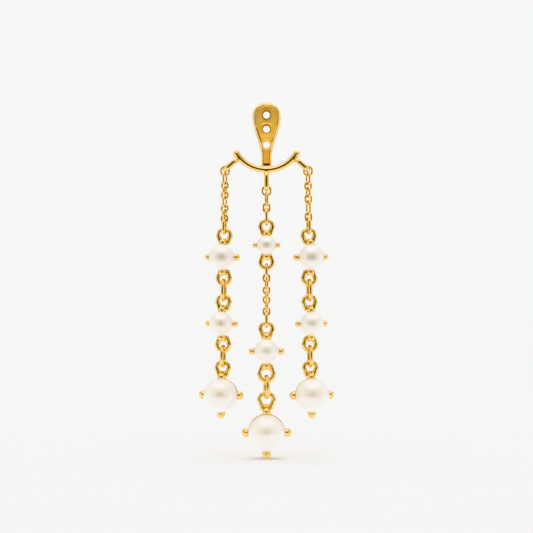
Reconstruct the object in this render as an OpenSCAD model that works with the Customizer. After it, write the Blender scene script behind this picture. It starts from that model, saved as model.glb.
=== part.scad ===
// Ear jacket earring: a dished plate with three post holes, soldered to a crescent bar,
// and three hanging strands of fine cable chain, pearl settings and jump rings.
// Front is -Y, up is +Z, millimetres. The origin is the middle post hole, where the jacket hangs.

/* [Plate] */
// Radius of the rounded head
head_r = 2.28; // [2:0.01:2.6]
// Height of the head's centre above the middle post hole
head_z = 2; // [1.8:0.05:2.3]
// Half width of the stem where it meets the bar
stem_half_w = 0.8; // [0.7:0.01:0.9]
// Height at which the flanks have narrowed to the stem
neck_z = -4.8; // [-5.2:0.1:-4.4]
// Thickness from back to rim
plate_t = 0.85; // [0.8:0.01:1]
// Distance of the back face behind the origin
plate_back_y = 0.26; // [0.2:0.01:0.3]
// Depth of the dished middle below the rim
dish_depth = 0.33; // [0.2:0.01:0.35]
// Depth of the shallow scoop along the stem
scoop_depth = 0.06; // [0.02:0.01:0.1]

/* [Post holes] */
// Diameter of each hole for an earring post
hole_d = 1.06; // [0.95:0.01:1.15]
// Height of the upper hole
hole_top_z = 2.26; // [2.1:0.01:2.4]
// Height of the lower hole
hole_low_z = -2.54; // [-2.7:0.01:-2.4]
// Width of the funnel that leads into the upper and middle hole
funnel_d = 1.46; // [1.3:0.01:1.6]
// Depth of that funnel
funnel_depth = 0.12; // [0.05:0.01:0.15]
// Diameter of the raised ring round the lower hole, at its middle
eyelet_d = 1.4; // [1.3:0.01:1.5]
// Thickness of the raised ring
eyelet_wire = 0.2; // [0.15:0.01:0.25]

/* [Bar and loops] */
// Half the distance between the bar's two ends
bar_half_span = 4.8; // [4.5:0.05:5.1]
// Height that the ends rise above the middle
bar_rise = 2.59; // [2.4:0.01:2.8]
// Height of the bar's ends
bar_end_z = -3.95; // [-4.05:0.01:-3.85]
// Thickness of the bar
bar_d = 1; // [0.9:0.01:1.1]
// Thickness of the balls that close the bar's ends
bar_end_d = 1.06; // [1:0.01:1.2]
// Wire thickness of the three soldered loops
loop_wire = 0.66; // [0.55:0.01:0.7]
// Outer width of a loop, from front to back
loop_w = 2.1; // [1.9:0.01:2.3]
// Angle of the side loops from straight down
loop_angle = 49; // [44:0.5:52]
// Distance from the bar's middle line to the wire at a side loop's tip
side_reach = 3.03; // [2.8:0.01:3.2]
// The same distance on the centre loop
centre_reach = 3.18; // [3:0.01:3.4]

/* [Strands] */
// Distance of the hanging pieces in front of the origin
hang_y = -0.45; // [-0.5:0.01:-0.4]
// Turn of each side strand towards its own side
strand_turn = 13; // [0:1:20]
// Turn of the lowest drop on a side strand
low_turn = 8; // [0:1:20]
// Outward lean of each side strand
strand_lean = 0.65; // [0:0.05:1.5]
// Further turn of the links that show their edge
edge_turn = 16; // [0:1:20]

/* [Chain] */
// Wire thickness of a plain link
link_wire = 0.26; // [0.22:0.01:0.28]
// Outer width of a plain link
link_w = 1.3; // [1.25:0.01:1.35]
// Outer width of the first link, which hangs on a loop
first_w = 1.68; // [1.6:0.01:1.71]
// Wire thickness of a link that joins a chain to a setting
joiner_wire = 0.42; // [0.38:0.01:0.43]
// Outer width of that link
joiner_w = 1.75; // [1.7:0.01:1.9]

/* [Jump rings] */
// Wire thickness of the jump rings on the side strands
jump_wire = 0.62; // [0.55:0.01:0.64]
// Wire thickness of the jump ring on the centre strand
centre_jump_wire = 0.68; // [0.6:0.01:0.7]

/* [Settings] */
// Wire thickness of a setting's rings
ring_wire = 0.62; // [0.58:0.01:0.65]
// Middle radius of a setting's usual rings
ring_r = 1.01; // [0.98:0.01:1.05]
// Middle radius of the two larger rings on the centre strand
large_ring_r = 1.17; // [1.1:0.01:1.25]
// Distance of the prong balls behind the pearl's middle, as a share of the pearl's radius
ball_back = 0.25; // [0.15:0.01:0.35]
// Thickness of a prong behind its ball, as a share of the ball's
prong_share = 0.62; // [0.5:0.01:0.7]
// Extra width of the foot on which an end ball stands
foot_flare = 0.4; // [0.2:0.01:0.5]

/* [Clearances] */
// Gap between two links of a chain
link_gap = 0.1; // [0.1:0.01:0.11]
// Gap between two hanging pieces
piece_gap = 0.06; // [0.04:0.01:0.08]
// Gap between a pearl and its setting
pearl_gap = 0.04; // [0.03:0.01:0.08]

/* [Hidden] */

$fn = 64;
GOLD = "goldenrod";
PEARL = "ivory";

// Sides of the left and the right strand
LEFT = -1;
RIGHT = 1;

// Columns of a chain's rows
LENGTH = 0;
WIDTH = 1;
WIRE = 2;

function plain(length) = [length, link_w, link_wire];
function first(length) = [length, first_w, link_wire];
function joiner(length) = [length, joiner_w, joiner_wire];

// Each chain's links from the top, by outer length
left_links = [
    first(1.72), plain(1.99), plain(1.42), plain(1.38), plain(1.42),
    plain(1.94), plain(1.42), plain(1.38), plain(1.52), joiner(2.52),
];
right_links = [
    first(1.74), plain(2.05), plain(1.5), plain(1.73), plain(1.6),
    plain(2.5), plain(1.66), joiner(2.69),
];
upper_links = [first(1.74), plain(2.24), plain(1.7), joiner(2.73)];
lower_links = [
    joiner(2.35), plain(1.52), plain(1.74), plain(1.4), plain(1.36),
    plain(1.4), plain(1.66), plain(1.52), joiner(2.6),
];

// Jump rings by outer length and width
side_jump_upper = [3.74, 2.95, jump_wire];
side_jump_lower = [3.71, 2.95, jump_wire];
centre_jump = [3.99, 3.3, centre_jump_wire];

// Columns of a setting's row: the pearl's diameter, how far the pearl stands in front of the
// rings, the distance to the ring above and to the ring below (0 for none), each ring's radius,
// the diameter of the balls at the pearl's sides and of those above and below it,
// the distance of the side balls, the upper and the lower ball outside the pearl,
// where the cup's rim lies as a share of the pearl's radius, and the cup's thickness
PEARL_D = 0;
AHEAD = 1;
UP = 2;
DOWN = 3;
UP_R = 4;
DOWN_R = 5;
SIDE_BALL = 6;
END_BALL = 7;
SIDE_OUT = 8;
UP_OUT = 9;
DOWN_OUT = 10;
RIM_AT = 11;
WALL = 12;
side_upper = [4.05, 1.6, 3.45, 3.37, ring_r, ring_r, 1.1, 1.2, 0.28, 0.3, 0.33, 0.76, 0.2];
side_middle = [3.82, 1.5, 3.43, 3.36, ring_r, ring_r, 0.98, 1.18, 0.26, 0.26, 0.28, 0.76, 0.2];
side_lower = [5.34, 1.9, 4.22, 0, ring_r, 0, 1.38, 1.34, 0.2, 0.2, 0.38, 0.5, 0.24];
centre_upper = [3.08, 1.2, 2.94, 2.72, ring_r, ring_r, 0.86, 1.16, 0.27, 0.28, 0.29, 0.76, 0.2];
centre_middle = [3.92, 1.6, 3.45, 3.66, ring_r, large_ring_r, 1.1, 1.26, 0.34, 0.35, 0.4, 0.76, 0.2];
centre_lower = [5.78, 2, 5.04, 0, large_ring_r, 0, 1.4, 1.38, 0.38, 0.36, 0.56, 0.42, 0.3];

// The bar's middle line is one arc
bar_r = (bar_half_span * bar_half_span + bar_rise * bar_rise) / (2 * bar_rise);
bar_centre_z = bar_end_z - bar_rise + bar_r;
bar_half_angle = asin(bar_half_span / bar_r);

// Places where the strands hang, at the middle of the wire
side_hook_x = (bar_r + side_reach) * sin(loop_angle);
side_hook_z = bar_centre_z - (bar_r + side_reach) * cos(loop_angle);
centre_hook_z = bar_centre_z - bar_r - centre_reach;

// Height of the wire that hangs on a wire above it, given that wire's height
function hung_from(z, wire_above, wire, gap) = z + (wire_above + wire) / 2 + gap;
function drop(row) = row[LENGTH] - row[WIRE];
function link_top(links, i, hook_z, hook_wire, gap) =
    i == 0
    ? hung_from(hook_z, hook_wire, links[0][WIRE], gap)
    : hung_from(
        link_top(links, i - 1, hook_z, hook_wire, gap) - drop(links[i - 1]),
        links[i - 1][WIRE], links[i][WIRE], link_gap
    );
function chain_end(links, hook_z, hook_wire, gap) =
    link_top(links, len(links) - 1, hook_z, hook_wire, gap) - drop(links[len(links) - 1]);
function pearl_z(row, hook_z, hook_wire) =
    hung_from(hook_z, hook_wire, ring_wire, piece_gap) - row[UP_R] - row[UP];
function setting_end(row, z) = z - row[DOWN] - row[DOWN_R];
function jump_top(row, hook_z) = hung_from(hook_z, ring_wire, row[WIRE], piece_gap);

// Heights on a side strand, below its hook
function side_pearl_1(links) = pearl_z(side_upper, chain_end(links, 0, loop_wire, link_gap), joiner_wire);
function side_jump_1(links) = jump_top(side_jump_upper, setting_end(side_upper, side_pearl_1(links)));
function side_pearl_2(links) =
    pearl_z(side_middle, side_jump_1(links) - drop(side_jump_upper), jump_wire);
function side_jump_2(links) = jump_top(side_jump_lower, setting_end(side_middle, side_pearl_2(links)));
function side_pearl_3(links) =
    pearl_z(side_lower, side_jump_2(links) - drop(side_jump_lower), jump_wire);

// Heights on the centre strand, below its hook
centre_pearl_1 = pearl_z(centre_upper, chain_end(upper_links, 0, loop_wire, link_gap), joiner_wire);
lower_hook = setting_end(centre_upper, centre_pearl_1);
lower_chain_end = chain_end(lower_links, lower_hook, ring_wire, piece_gap);
centre_pearl_2 = pearl_z(centre_middle, lower_chain_end, joiner_wire);
centre_jump_z = jump_top(centre_jump, setting_end(centre_middle, centre_pearl_2));
centre_pearl_3 = pearl_z(centre_lower, centre_jump_z - drop(centre_jump), centre_jump_wire);

// The plate's outline, as points up one side with the direction that leads inwards
stem_in_bar = 0.14;
stem_end_z = bar_end_z - bar_rise + stem_in_bar;
flank_steps = 24;
head_steps = 12;
head_top_angle = 87;
function eased(t) = t * t * (3 - 2 * t);
function share(z, low, high) = max(0, min(1, (z - low) / (high - low)));
function half_width(z) = stem_half_w + (head_r - stem_half_w) * eased(share(z, neck_z, head_z));
function flank(i) = let (z = stem_end_z + (head_z - stem_end_z) * i / flank_steps) [half_width(z), z, -1, 0];
function head(i) = let (a = head_top_angle * i / head_steps)
    [head_r * cos(a), head_z + head_r * sin(a), -cos(a), -sin(a)];
outline = [for (i = [0 : flank_steps]) flank(i), for (i = [1 : head_steps]) head(i)];

// The plate's wall, from the middle of the back round the edge to the dished front:
// distance in from the edge, and depth behind the rim as a share of the thickness
// on the back and of the local hollow on the front
back_rows = [[0.3, 1], [0.08, 0.94], [0, 0.78], [0, 0.3], [0.07, 0.09], [0.22, 0]];
front_rows = [[0.38, 0.16], [0.5, 0.6], [0.62, 0.9], [0.78, 1]];
narrow_w = 1.2;
dish_low_z = -1.9;
dish_high_z = -0.7;
rim_y = plate_back_y - plate_t;
function hollow(z) =
    scoop_depth + (dish_depth - scoop_depth) * eased(share(z, dish_low_z, dish_high_z));
function wall_point(p, in, y) =
    let (step = in * min(1, p[0] / narrow_w + p[3] * p[3])) [p[0] + p[2] * step, y, p[1] + p[3] * step];
function wall_half(p) = [
    for (row = back_rows) wall_point(p, row[0], rim_y + plate_t * row[1]),
    for (row = front_rows) wall_point(p, row[0], rim_y + hollow(p[1]) * row[1]),
];
function mirrored(points) = [
    for (i = [len(points) - 1 : -1 : 0]) [-points[i][0], points[i][1], points[i][2]]
];

// Sides of a circle on round wire, on a ball and on a pearl
wire_fn = 32;
ball_fn = 48;
pearl_fn = 96;
// A ball that closes a rod is larger than the rod by this share
end_share = 1.06;
// Solder where a loop meets the bar: its height, and its width at the loop and at the bar
solder_h = 0.36;
solder_low_share = 1.2;
solder_high_share = 1.5;
// How far a prong's end lies behind the cup's rim
prong_in_cup = 0.3;
// Where the cup ends behind a pearl, and where a foot starts, as shares of the pearl's radius
cup_back_at = 0.86;
foot_at = 0.9;
// Width of a foot at its ball, as a share of the ball's
foot_top_share = 0.85;
// Extra thickness of the collar from an end ball to its ring
collar_extra = 0.2;
// The seams of a cup's round faces lie between the prongs, and that of a collar's end at its back
seam_turn = 45;
collar_seam_turn = 90;

// A ring's arc in the XZ plane, from one angle to another, measured from +X towards +Z
module wire_arc(radius, wire, from, to) {
    rotate([90, 0, 0])
        rotate([0, 0, from])
            rotate_extrude(angle = to - from)
                translate([radius, 0])
                    circle(d = wire, $fn = wire_fn);
}

// A rod from one point to another, closed at its far end by a slightly larger ball whose seam
// is turned about Z
module rod(a, b, d, ball_turn = 0) {
    way = b - a;
    tilt = atan2(norm([way[0], way[1]]), way[2]);
    translate(a) rotate([0, tilt, atan2(way[1], way[0])]) cylinder(h = norm(way), d = d, $fn = wire_fn);
    translate(b) rotate([0, 0, ball_turn]) sphere(d = end_share * d, $fn = wire_fn);
}

// An oval of round wire in the XZ plane that hangs from the origin, the middle of its top wire
module oval(row) {
    r = (row[WIDTH] - row[WIRE]) / 2;
    straight = row[LENGTH] - row[WIDTH];
    translate([0, 0, -r]) wire_arc(r, row[WIRE], 0, 180);
    translate([0, 0, -r - straight]) wire_arc(r, row[WIRE], 180, 360);
    for (side = [-1, 1])
        translate([side * r, 0, -r - straight])
            cylinder(h = straight, d = row[WIRE], $fn = wire_fn);
}

module teardrop_plate() {
    halves = [for (p = outline) wall_half(p)];
    columns = len(halves[0]);
    around = 2 * columns;
    top = (len(halves) - 1) * around;
    points = [for (half = halves) each concat(half, mirrored(half))];
    foot_faces = [
        for (i = [0 : columns - 2])
            let (a = i, b = i + 1, c = around - 2 - i, d = around - 1 - i) each [[a, c, b], [a, d, c]]
    ];
    crown_faces = [
        for (i = [0 : columns - 2])
            let (a = top + i, b = a + 1, c = top + around - 2 - i, d = c + 1) each [[a, b, c], [a, c, d]]
    ];
    side_faces = [
        for (level = [0 : len(halves) - 2])
            for (i = [0 : around - 1])
                let (a = level * around + i, b = level * around + (i + 1) % around)
                    each [[a, b, b + around], [a, b + around, a + around]]
    ];
    polyhedron(points = points, faces = concat(foot_faces, side_faces, crown_faces));
}

module post_hole(z) {
    translate([0, 0, z]) rotate([90, 0, 0]) cylinder(h = 3 * plate_t, d = hole_d, center = true);
}

module funnel(z) {
    floor_y = rim_y + dish_depth;
    translate([0, floor_y + funnel_depth, z])
        rotate([90, 0, 0])
            cylinder(h = 2 * funnel_depth, d1 = hole_d, d2 = 2 * funnel_d - hole_d);
}

// A loop of the crescent bar, hanging from the bar's middle line at the origin
module soldered_loop(reach) {
    root_z = bar_d / 2;
    rotate([0, 0, 90])
        translate([0, 0, -root_z])
            oval([reach - root_z + loop_wire, loop_w, loop_wire]);
    translate([0, 0, -root_z - solder_h / 2])
        cylinder(
            h = solder_h,
            d1 = solder_low_share * loop_wire,
            d2 = solder_high_share * loop_wire,
            $fn = wire_fn
        );
}

module crescent_bar() {
    translate([0, hang_y, bar_centre_z]) {
        wire_arc(bar_r, bar_d, 270 - bar_half_angle, 270 + bar_half_angle);
        for (side = [LEFT, RIGHT]) {
            rotate([0, -side * bar_half_angle, 0]) translate([0, 0, -bar_r]) sphere(d = bar_end_d);
            rotate([0, -side * loop_angle, 0]) translate([0, 0, -bar_r]) soldered_loop(side_reach);
        }
        translate([0, 0, -bar_r]) soldered_loop(centre_reach);
    }
}

module jacket_frame() {
    color(GOLD)
        difference() {
            union() {
                teardrop_plate();
                crescent_bar();
                translate([0, rim_y + scoop_depth, hole_low_z])
                    wire_arc(eyelet_d / 2, eyelet_wire, 0, 360);
            }
            for (z = [hole_top_z, 0, hole_low_z]) post_hole(z);
            for (z = [hole_top_z, 0]) funnel(z);
        }
}

// Puts a strand's pieces at its hook
module on_side(side, turn = strand_turn) {
    translate([side * side_hook_x, hang_y, side_hook_z])
        rotate([0, -side * strand_lean, 0])
            rotate([0, 0, side * turn])
                children();
}

module on_centre() {
    translate([0, hang_y, centre_hook_z]) children();
}

// Links hang in each other at right angles, apart from the further turn of those seen edge on
module chain(links, hook_z, hook_wire, gap, side, first_on_edge) {
    for (i = [0 : len(links) - 1]) {
        on_edge = (i + first_on_edge) % 2;
        further = links[i][WIRE] == link_wire ? edge_turn : 0;
        translate([0, 0, link_top(links, i, hook_z, hook_wire, gap)])
            rotate([0, 0, on_edge * (90 + side * further)])
                oval(links[i]);
    }
}

module jump_ring(row, z) {
    translate([0, 0, z]) rotate([0, 0, 90]) oval(row);
}

module pearl(row, z) {
    translate([0, -row[AHEAD], z]) sphere(d = row[PEARL_D], $fn = pearl_fn);
}

// The ball behind and beside the pearl, as seen in the direction of its angle
function ball_y(row) = ball_back * row[PEARL_D] / 2;
function ball_z(row, out) = row[PEARL_D] / 2 + out;
function cup_rim_y(row) = row[RIM_AT] * row[PEARL_D] / 2;
function cup_inner(row) = row[PEARL_D] / 2 + pearl_gap;

// A prong from its ball, back and inwards to the cup's wall
module prong(row, angle, ball, out) {
    end_y = cup_rim_y(row) + prong_in_cup;
    wall_r = cup_inner(row) + row[WALL] / 2;
    end_z = sqrt(wall_r * wall_r - end_y * end_y);
    rotate([0, angle, 0]) {
        translate([0, ball_y(row), ball_z(row, out)]) sphere(d = ball, $fn = ball_fn);
        rod([0, ball_y(row), ball_z(row, out)], [0, end_y, end_z], prong_share * ball);
    }
}

// A prong above or below the pearl, whose ball stands on a flared foot
module footed_prong(row, angle, out) {
    foot_z = foot_at * row[PEARL_D] / 2;
    prong(row, angle, row[END_BALL], out);
    rotate([0, angle, 0])
        translate([0, ball_y(row), foot_z])
            cylinder(
                h = ball_z(row, out) - foot_z,
                d1 = row[END_BALL] + foot_flare,
                d2 = foot_top_share * row[END_BALL],
                $fn = ball_fn
            );
}

// A ring that carries the setting, with a collar forward to the end ball
module bail(row, distance, radius, out) {
    collar_d = prong_share * row[END_BALL] + collar_extra;
    translate([0, 0, distance]) wire_arc(radius, ring_wire, 0, 360);
    rod(
        [0, ball_y(row) - row[AHEAD], ball_z(row, out)],
        [0, 0, distance - radius],
        collar_d,
        collar_seam_turn
    );
}

module cup(row) {
    back_y = cup_back_at * row[PEARL_D] / 2;
    rotate([0, seam_turn, 0])
        rotate([-90, 0, 0])
            rotate_extrude()
                intersection() {
                    difference() {
                        circle(r = cup_inner(row) + row[WALL], $fn = pearl_fn);
                        circle(r = foot_at * cup_inner(row), $fn = pearl_fn);
                    }
                    translate([0, cup_rim_y(row)]) square([2 * cup_inner(row), back_y - cup_rim_y(row)]);
                }
}

module setting(row, z) {
    translate([0, 0, z])
        difference() {
            union() {
                translate([0, -row[AHEAD], 0]) {
                    cup(row);
                    for (angle = [90, 270]) prong(row, angle, row[SIDE_BALL], row[SIDE_OUT]);
                    footed_prong(row, 0, row[UP_OUT]);
                    footed_prong(row, 180, row[DOWN_OUT]);
                }
                bail(row, row[UP], row[UP_R], row[UP_OUT]);
                if (row[DOWN] > 0) rotate([0, 180, 0]) bail(row, row[DOWN], row[DOWN_R], row[DOWN_OUT]);
            }
            translate([0, -row[AHEAD], 0])
                rotate([0, seam_turn, 0])
                    rotate([-90, 0, 0])
                        sphere(r = cup_inner(row), $fn = pearl_fn);
        }
}

module chain_left() {
    color(GOLD) on_side(LEFT) chain(left_links, 0, loop_wire, link_gap, LEFT, 0);
}
module chain_right() {
    color(GOLD) on_side(RIGHT) chain(right_links, 0, loop_wire, link_gap, RIGHT, 0);
}
module chain_centre_upper() {
    color(GOLD) on_centre() chain(upper_links, 0, loop_wire, link_gap, 1, 0);
}
module chain_centre_lower() {
    color(GOLD) on_centre() chain(lower_links, lower_hook, ring_wire, piece_gap, 1, 1);
}
module setting_left_upper() {
    color(GOLD) on_side(LEFT) setting(side_upper, side_pearl_1(left_links));
}
module setting_left_middle() {
    color(GOLD) on_side(LEFT) setting(side_middle, side_pearl_2(left_links));
}
module setting_left_lower() {
    color(GOLD) on_side(LEFT, low_turn) setting(side_lower, side_pearl_3(left_links));
}
module setting_right_upper() {
    color(GOLD) on_side(RIGHT) setting(side_upper, side_pearl_1(right_links));
}
module setting_right_middle() {
    color(GOLD) on_side(RIGHT) setting(side_middle, side_pearl_2(right_links));
}
module setting_right_lower() {
    color(GOLD) on_side(RIGHT, low_turn) setting(side_lower, side_pearl_3(right_links));
}
module setting_centre_upper() {
    color(GOLD) on_centre() setting(centre_upper, centre_pearl_1);
}
module setting_centre_middle() {
    color(GOLD) on_centre() setting(centre_middle, centre_pearl_2);
}
module setting_centre_lower() {
    color(GOLD) on_centre() setting(centre_lower, centre_pearl_3);
}
module pearl_left_upper() {
    color(PEARL) on_side(LEFT) pearl(side_upper, side_pearl_1(left_links));
}
module pearl_left_middle() {
    color(PEARL) on_side(LEFT) pearl(side_middle, side_pearl_2(left_links));
}
module pearl_left_lower() {
    color(PEARL) on_side(LEFT, low_turn) pearl(side_lower, side_pearl_3(left_links));
}
module pearl_right_upper() {
    color(PEARL) on_side(RIGHT) pearl(side_upper, side_pearl_1(right_links));
}
module pearl_right_middle() {
    color(PEARL) on_side(RIGHT) pearl(side_middle, side_pearl_2(right_links));
}
module pearl_right_lower() {
    color(PEARL) on_side(RIGHT, low_turn) pearl(side_lower, side_pearl_3(right_links));
}
module pearl_centre_upper() {
    color(PEARL) on_centre() pearl(centre_upper, centre_pearl_1);
}
module pearl_centre_middle() {
    color(PEARL) on_centre() pearl(centre_middle, centre_pearl_2);
}
module pearl_centre_lower() {
    color(PEARL) on_centre() pearl(centre_lower, centre_pearl_3);
}
module jump_ring_left_upper() {
    color(GOLD) on_side(LEFT) jump_ring(side_jump_upper, side_jump_1(left_links));
}
module jump_ring_left_lower() {
    color(GOLD) on_side(LEFT) jump_ring(side_jump_lower, side_jump_2(left_links));
}
module jump_ring_right_upper() {
    color(GOLD) on_side(RIGHT) jump_ring(side_jump_upper, side_jump_1(right_links));
}
module jump_ring_right_lower() {
    color(GOLD) on_side(RIGHT) jump_ring(side_jump_lower, side_jump_2(right_links));
}
module jump_ring_centre() {
    color(GOLD) on_centre() jump_ring(centre_jump, centre_jump_z);
}

jacket_frame();
chain_left();
chain_right();
chain_centre_upper();
chain_centre_lower();
setting_left_upper();
setting_left_middle();
setting_left_lower();
setting_right_upper();
setting_right_middle();
setting_right_lower();
setting_centre_upper();
setting_centre_middle();
setting_centre_lower();
pearl_left_upper();
pearl_left_middle();
pearl_left_lower();
pearl_right_upper();
pearl_right_middle();
pearl_right_lower();
pearl_centre_upper();
pearl_centre_middle();
pearl_centre_lower();
jump_ring_left_upper();
jump_ring_left_lower();
jump_ring_right_upper();
jump_ring_right_lower();
jump_ring_centre();
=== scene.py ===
"""Looks of the ear jacket earring: polished gold castings, cable chains and pearls in a soft white studio."""

import logging
import math
from dataclasses import dataclass
from enum import Enum
from typing import Callable, Sequence

import bpy
import numpy as np
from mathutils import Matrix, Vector

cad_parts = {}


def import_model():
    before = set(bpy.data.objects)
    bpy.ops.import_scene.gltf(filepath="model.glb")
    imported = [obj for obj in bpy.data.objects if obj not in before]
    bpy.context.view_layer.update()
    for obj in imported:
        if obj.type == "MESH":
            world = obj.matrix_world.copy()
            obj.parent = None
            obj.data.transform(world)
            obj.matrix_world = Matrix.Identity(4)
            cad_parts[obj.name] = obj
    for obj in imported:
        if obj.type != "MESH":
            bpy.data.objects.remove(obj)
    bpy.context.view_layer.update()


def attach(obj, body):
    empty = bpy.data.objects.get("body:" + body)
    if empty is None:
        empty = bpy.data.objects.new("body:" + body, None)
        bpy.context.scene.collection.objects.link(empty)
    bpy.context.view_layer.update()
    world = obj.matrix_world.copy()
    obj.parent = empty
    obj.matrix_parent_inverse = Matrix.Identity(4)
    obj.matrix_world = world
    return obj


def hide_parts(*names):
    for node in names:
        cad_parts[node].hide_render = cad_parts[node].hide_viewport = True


LOG = logging.getLogger("ear_jacket")
MM = 0.001
# A distance, in millimetres, that no form wins with
FAR = 9.0
# Points that a field is asked for at a time
SLAB_POINTS = 400_000
# Rounds of moving vertices onto the surface; reach of the slope and longest move, as shares of the pitch
SETTLE_ROUNDS = 3
SLOPE_REACH = 0.15
LONGEST_MOVE = 0.5
LEAST_SLOPE_SQUARED = 0.05
Array = np.ndarray
Field = Callable[[Array], Array]
Tone = tuple[float, float, float]


class Side(Enum):
    """Where a strand hangs, with the sign of its X."""

    LEFT = -1
    CENTRE = 0
    RIGHT = 1


class Slot(Enum):
    """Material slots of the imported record."""

    GOLD = "polished_gold"
    PEARL = "pearl"


# Signed distances, in millimetres: below zero inside


def blend_in(a: Array, b: Array, k: float) -> Array:
    """Joins two distance fields with a fillet.

    Args:
        a: Distances to the first form.
        b: Distances to the second form.
        k: Reach of the fillet.

    Returns:
        Distances to the joined form.
    """
    h = np.clip(0.5 + 0.5 * (b - a) / k, 0.0, 1.0)
    return b + (a - b) * h - k * h * (1.0 - h)


def cut_out(a: Array, b: Array, k: float) -> Array:
    """Takes form b out of form a and rounds the new edge by k."""
    return -blend_in(-a, b, k)


def keep_both(a: Array, b: Array, k: float) -> Array:
    """Keeps what is in both forms and rounds the edge between them by k."""
    return -blend_in(-a, -b, k)


def eased(t: Array) -> Array:
    """Smooth step of a share, clipped to 0 and 1."""
    t = np.clip(t, 0.0, 1.0)
    return t * t * (3.0 - 2.0 * t)


def risen(value: Array, span: tuple[float, float]) -> Array:
    """Smooth step from 0 at the span's start to 1 at its end, which may lie below the start."""
    return eased((value - span[0]) / (span[1] - span[0]))


def ball(p: Array, centre: Sequence[float], radius: float) -> Array:
    """Distance to a ball."""
    return np.linalg.norm(p - np.asarray(centre), axis=1) - radius


def rod(p: Array, a: Sequence[float], b: Sequence[float], r_a: float, r_b: float) -> Array:
    """Distance to a round-ended rod.

    Args:
        p: Points to measure from.
        a: Middle of the first end.
        b: Middle of the second end.
        r_a: Radius at the first end.
        r_b: Radius at the second end.

    Returns:
        The distance of each point.
    """
    a, b = np.asarray(a, float), np.asarray(b, float)
    way = b - a
    t = np.clip((p - a) @ way / (way @ way), 0.0, 1.0)
    near = a + t[:, None] * way
    return np.linalg.norm(p - near, axis=1) - (r_a + (r_b - r_a) * t)


def cone(p: Array, a: Sequence[float], b: Sequence[float], r_a: float, r_b: float) -> Array:
    """Distance to a flat-ended cone.

    Args:
        p: Points to measure from.
        a: Middle of the first end.
        b: Middle of the second end.
        r_a: Radius at the first end.
        r_b: Radius at the second end.

    Returns:
        The distance of each point.
    """
    a, b = np.asarray(a, float), np.asarray(b, float)
    length = float(np.linalg.norm(b - a))
    way = (b - a) / length
    t = (p - a) @ way
    side = np.linalg.norm(p - a - t[:, None] * way, axis=1) - (r_a + (r_b - r_a) * t / length)
    side = side * length / math.hypot(length, r_b - r_a)
    return keep_both(side, np.abs(t - length / 2) - length / 2, 0.05)


def oval_line(u: Array, v: Array, radius: float, straight: float) -> Array:
    """Distance in a plane to an oval line whose top is at the origin and which hangs along -v."""
    low = np.clip(v + radius, -straight, 0.0)
    return np.abs(np.hypot(u, v + radius - low) - radius)


# Meshes from distance fields


def surface_net(form: Field, low: Sequence[float], high: Sequence[float], step: float) -> tuple[Array, Array]:
    """Meshes the zero surface of a distance field with quads that face outwards.

    Args:
        form: Distance of each point, in millimetres.
        low: Lowest corner of the sampled box.
        high: Highest corner of the sampled box.
        step: Grid pitch.

    Returns:
        Vertices in millimetres and quads as vertex numbers.
    """
    low = np.asarray(low, float)
    size = np.ceil((np.asarray(high, float) - low) / step).astype(int) + 1
    axes = [low[i] + step * np.arange(size[i]) for i in range(3)]
    values = np.empty(size, np.float32)
    yz = np.stack(np.meshgrid(axes[1], axes[2], indexing="ij"), -1).reshape(-1, 2)
    slab = max(1, SLAB_POINTS // len(yz))
    for i in range(0, size[0], slab):
        xs = axes[0][i : i + slab]
        points = np.empty((len(xs) * len(yz), 3))
        points[:, 0] = np.repeat(xs, len(yz))
        points[:, 1:] = np.tile(yz, (len(xs), 1))
        values[i : i + slab] = form(points).reshape(len(xs), size[1], size[2])
    inside = values < 0.0
    corners = [(x, y, z) for x in (0, 1) for y in (0, 1) for z in (0, 1)]
    cells = size - 1
    count = np.zeros(cells, np.int8)
    for x, y, z in corners:
        count += inside[x : x + cells[0], y : y + cells[1], z : z + cells[2]]
    mixed = np.argwhere((count > 0) & (count < 8))
    number = np.full(cells, -1, np.int64)
    number[tuple(mixed.T)] = np.arange(len(mixed))
    total, hits = np.zeros((len(mixed), 3)), np.zeros(len(mixed))
    for a in corners:
        for axis in range(3):
            if a[axis]:
                continue
            b = tuple(c + (i == axis) for i, c in enumerate(a))
            f_a, f_b = values[tuple((mixed + a).T)], values[tuple((mixed + b).T)]
            crossed = (f_a < 0) != (f_b < 0)
            t = np.where(crossed, f_a / np.where(crossed, f_a - f_b, 1.0), 0.0)
            place = np.tile(np.asarray(a, float), (len(mixed), 1))
            place[:, axis] += t
            total += place * crossed[:, None]
            hits += crossed
    vertices = low + step * (mixed + total / hits[:, None])
    quads = []
    for axis in range(3):
        u, v = (axis + 1) % 3, (axis + 2) % 3
        first = np.take(inside, range(size[axis] - 1), axis)
        crossed = first != np.take(inside, range(1, size[axis]), axis)
        at = np.argwhere(crossed)
        at = at[(at[:, u] > 0) & (at[:, v] > 0) & (at[:, u] < size[u] - 1) & (at[:, v] < size[v] - 1)]
        step_u, step_v = np.eye(3, dtype=int)[u], np.eye(3, dtype=int)[v]
        ring = [number[tuple((at - o).T)] for o in (0 * step_u, step_u, step_u + step_v, step_v)]
        face = np.stack(ring, 1)
        back = ~first[tuple(at.T)]
        face[back] = face[back][:, ::-1]
        quads.append(face)
    return settle(form, vertices, step), np.concatenate(quads)


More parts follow.
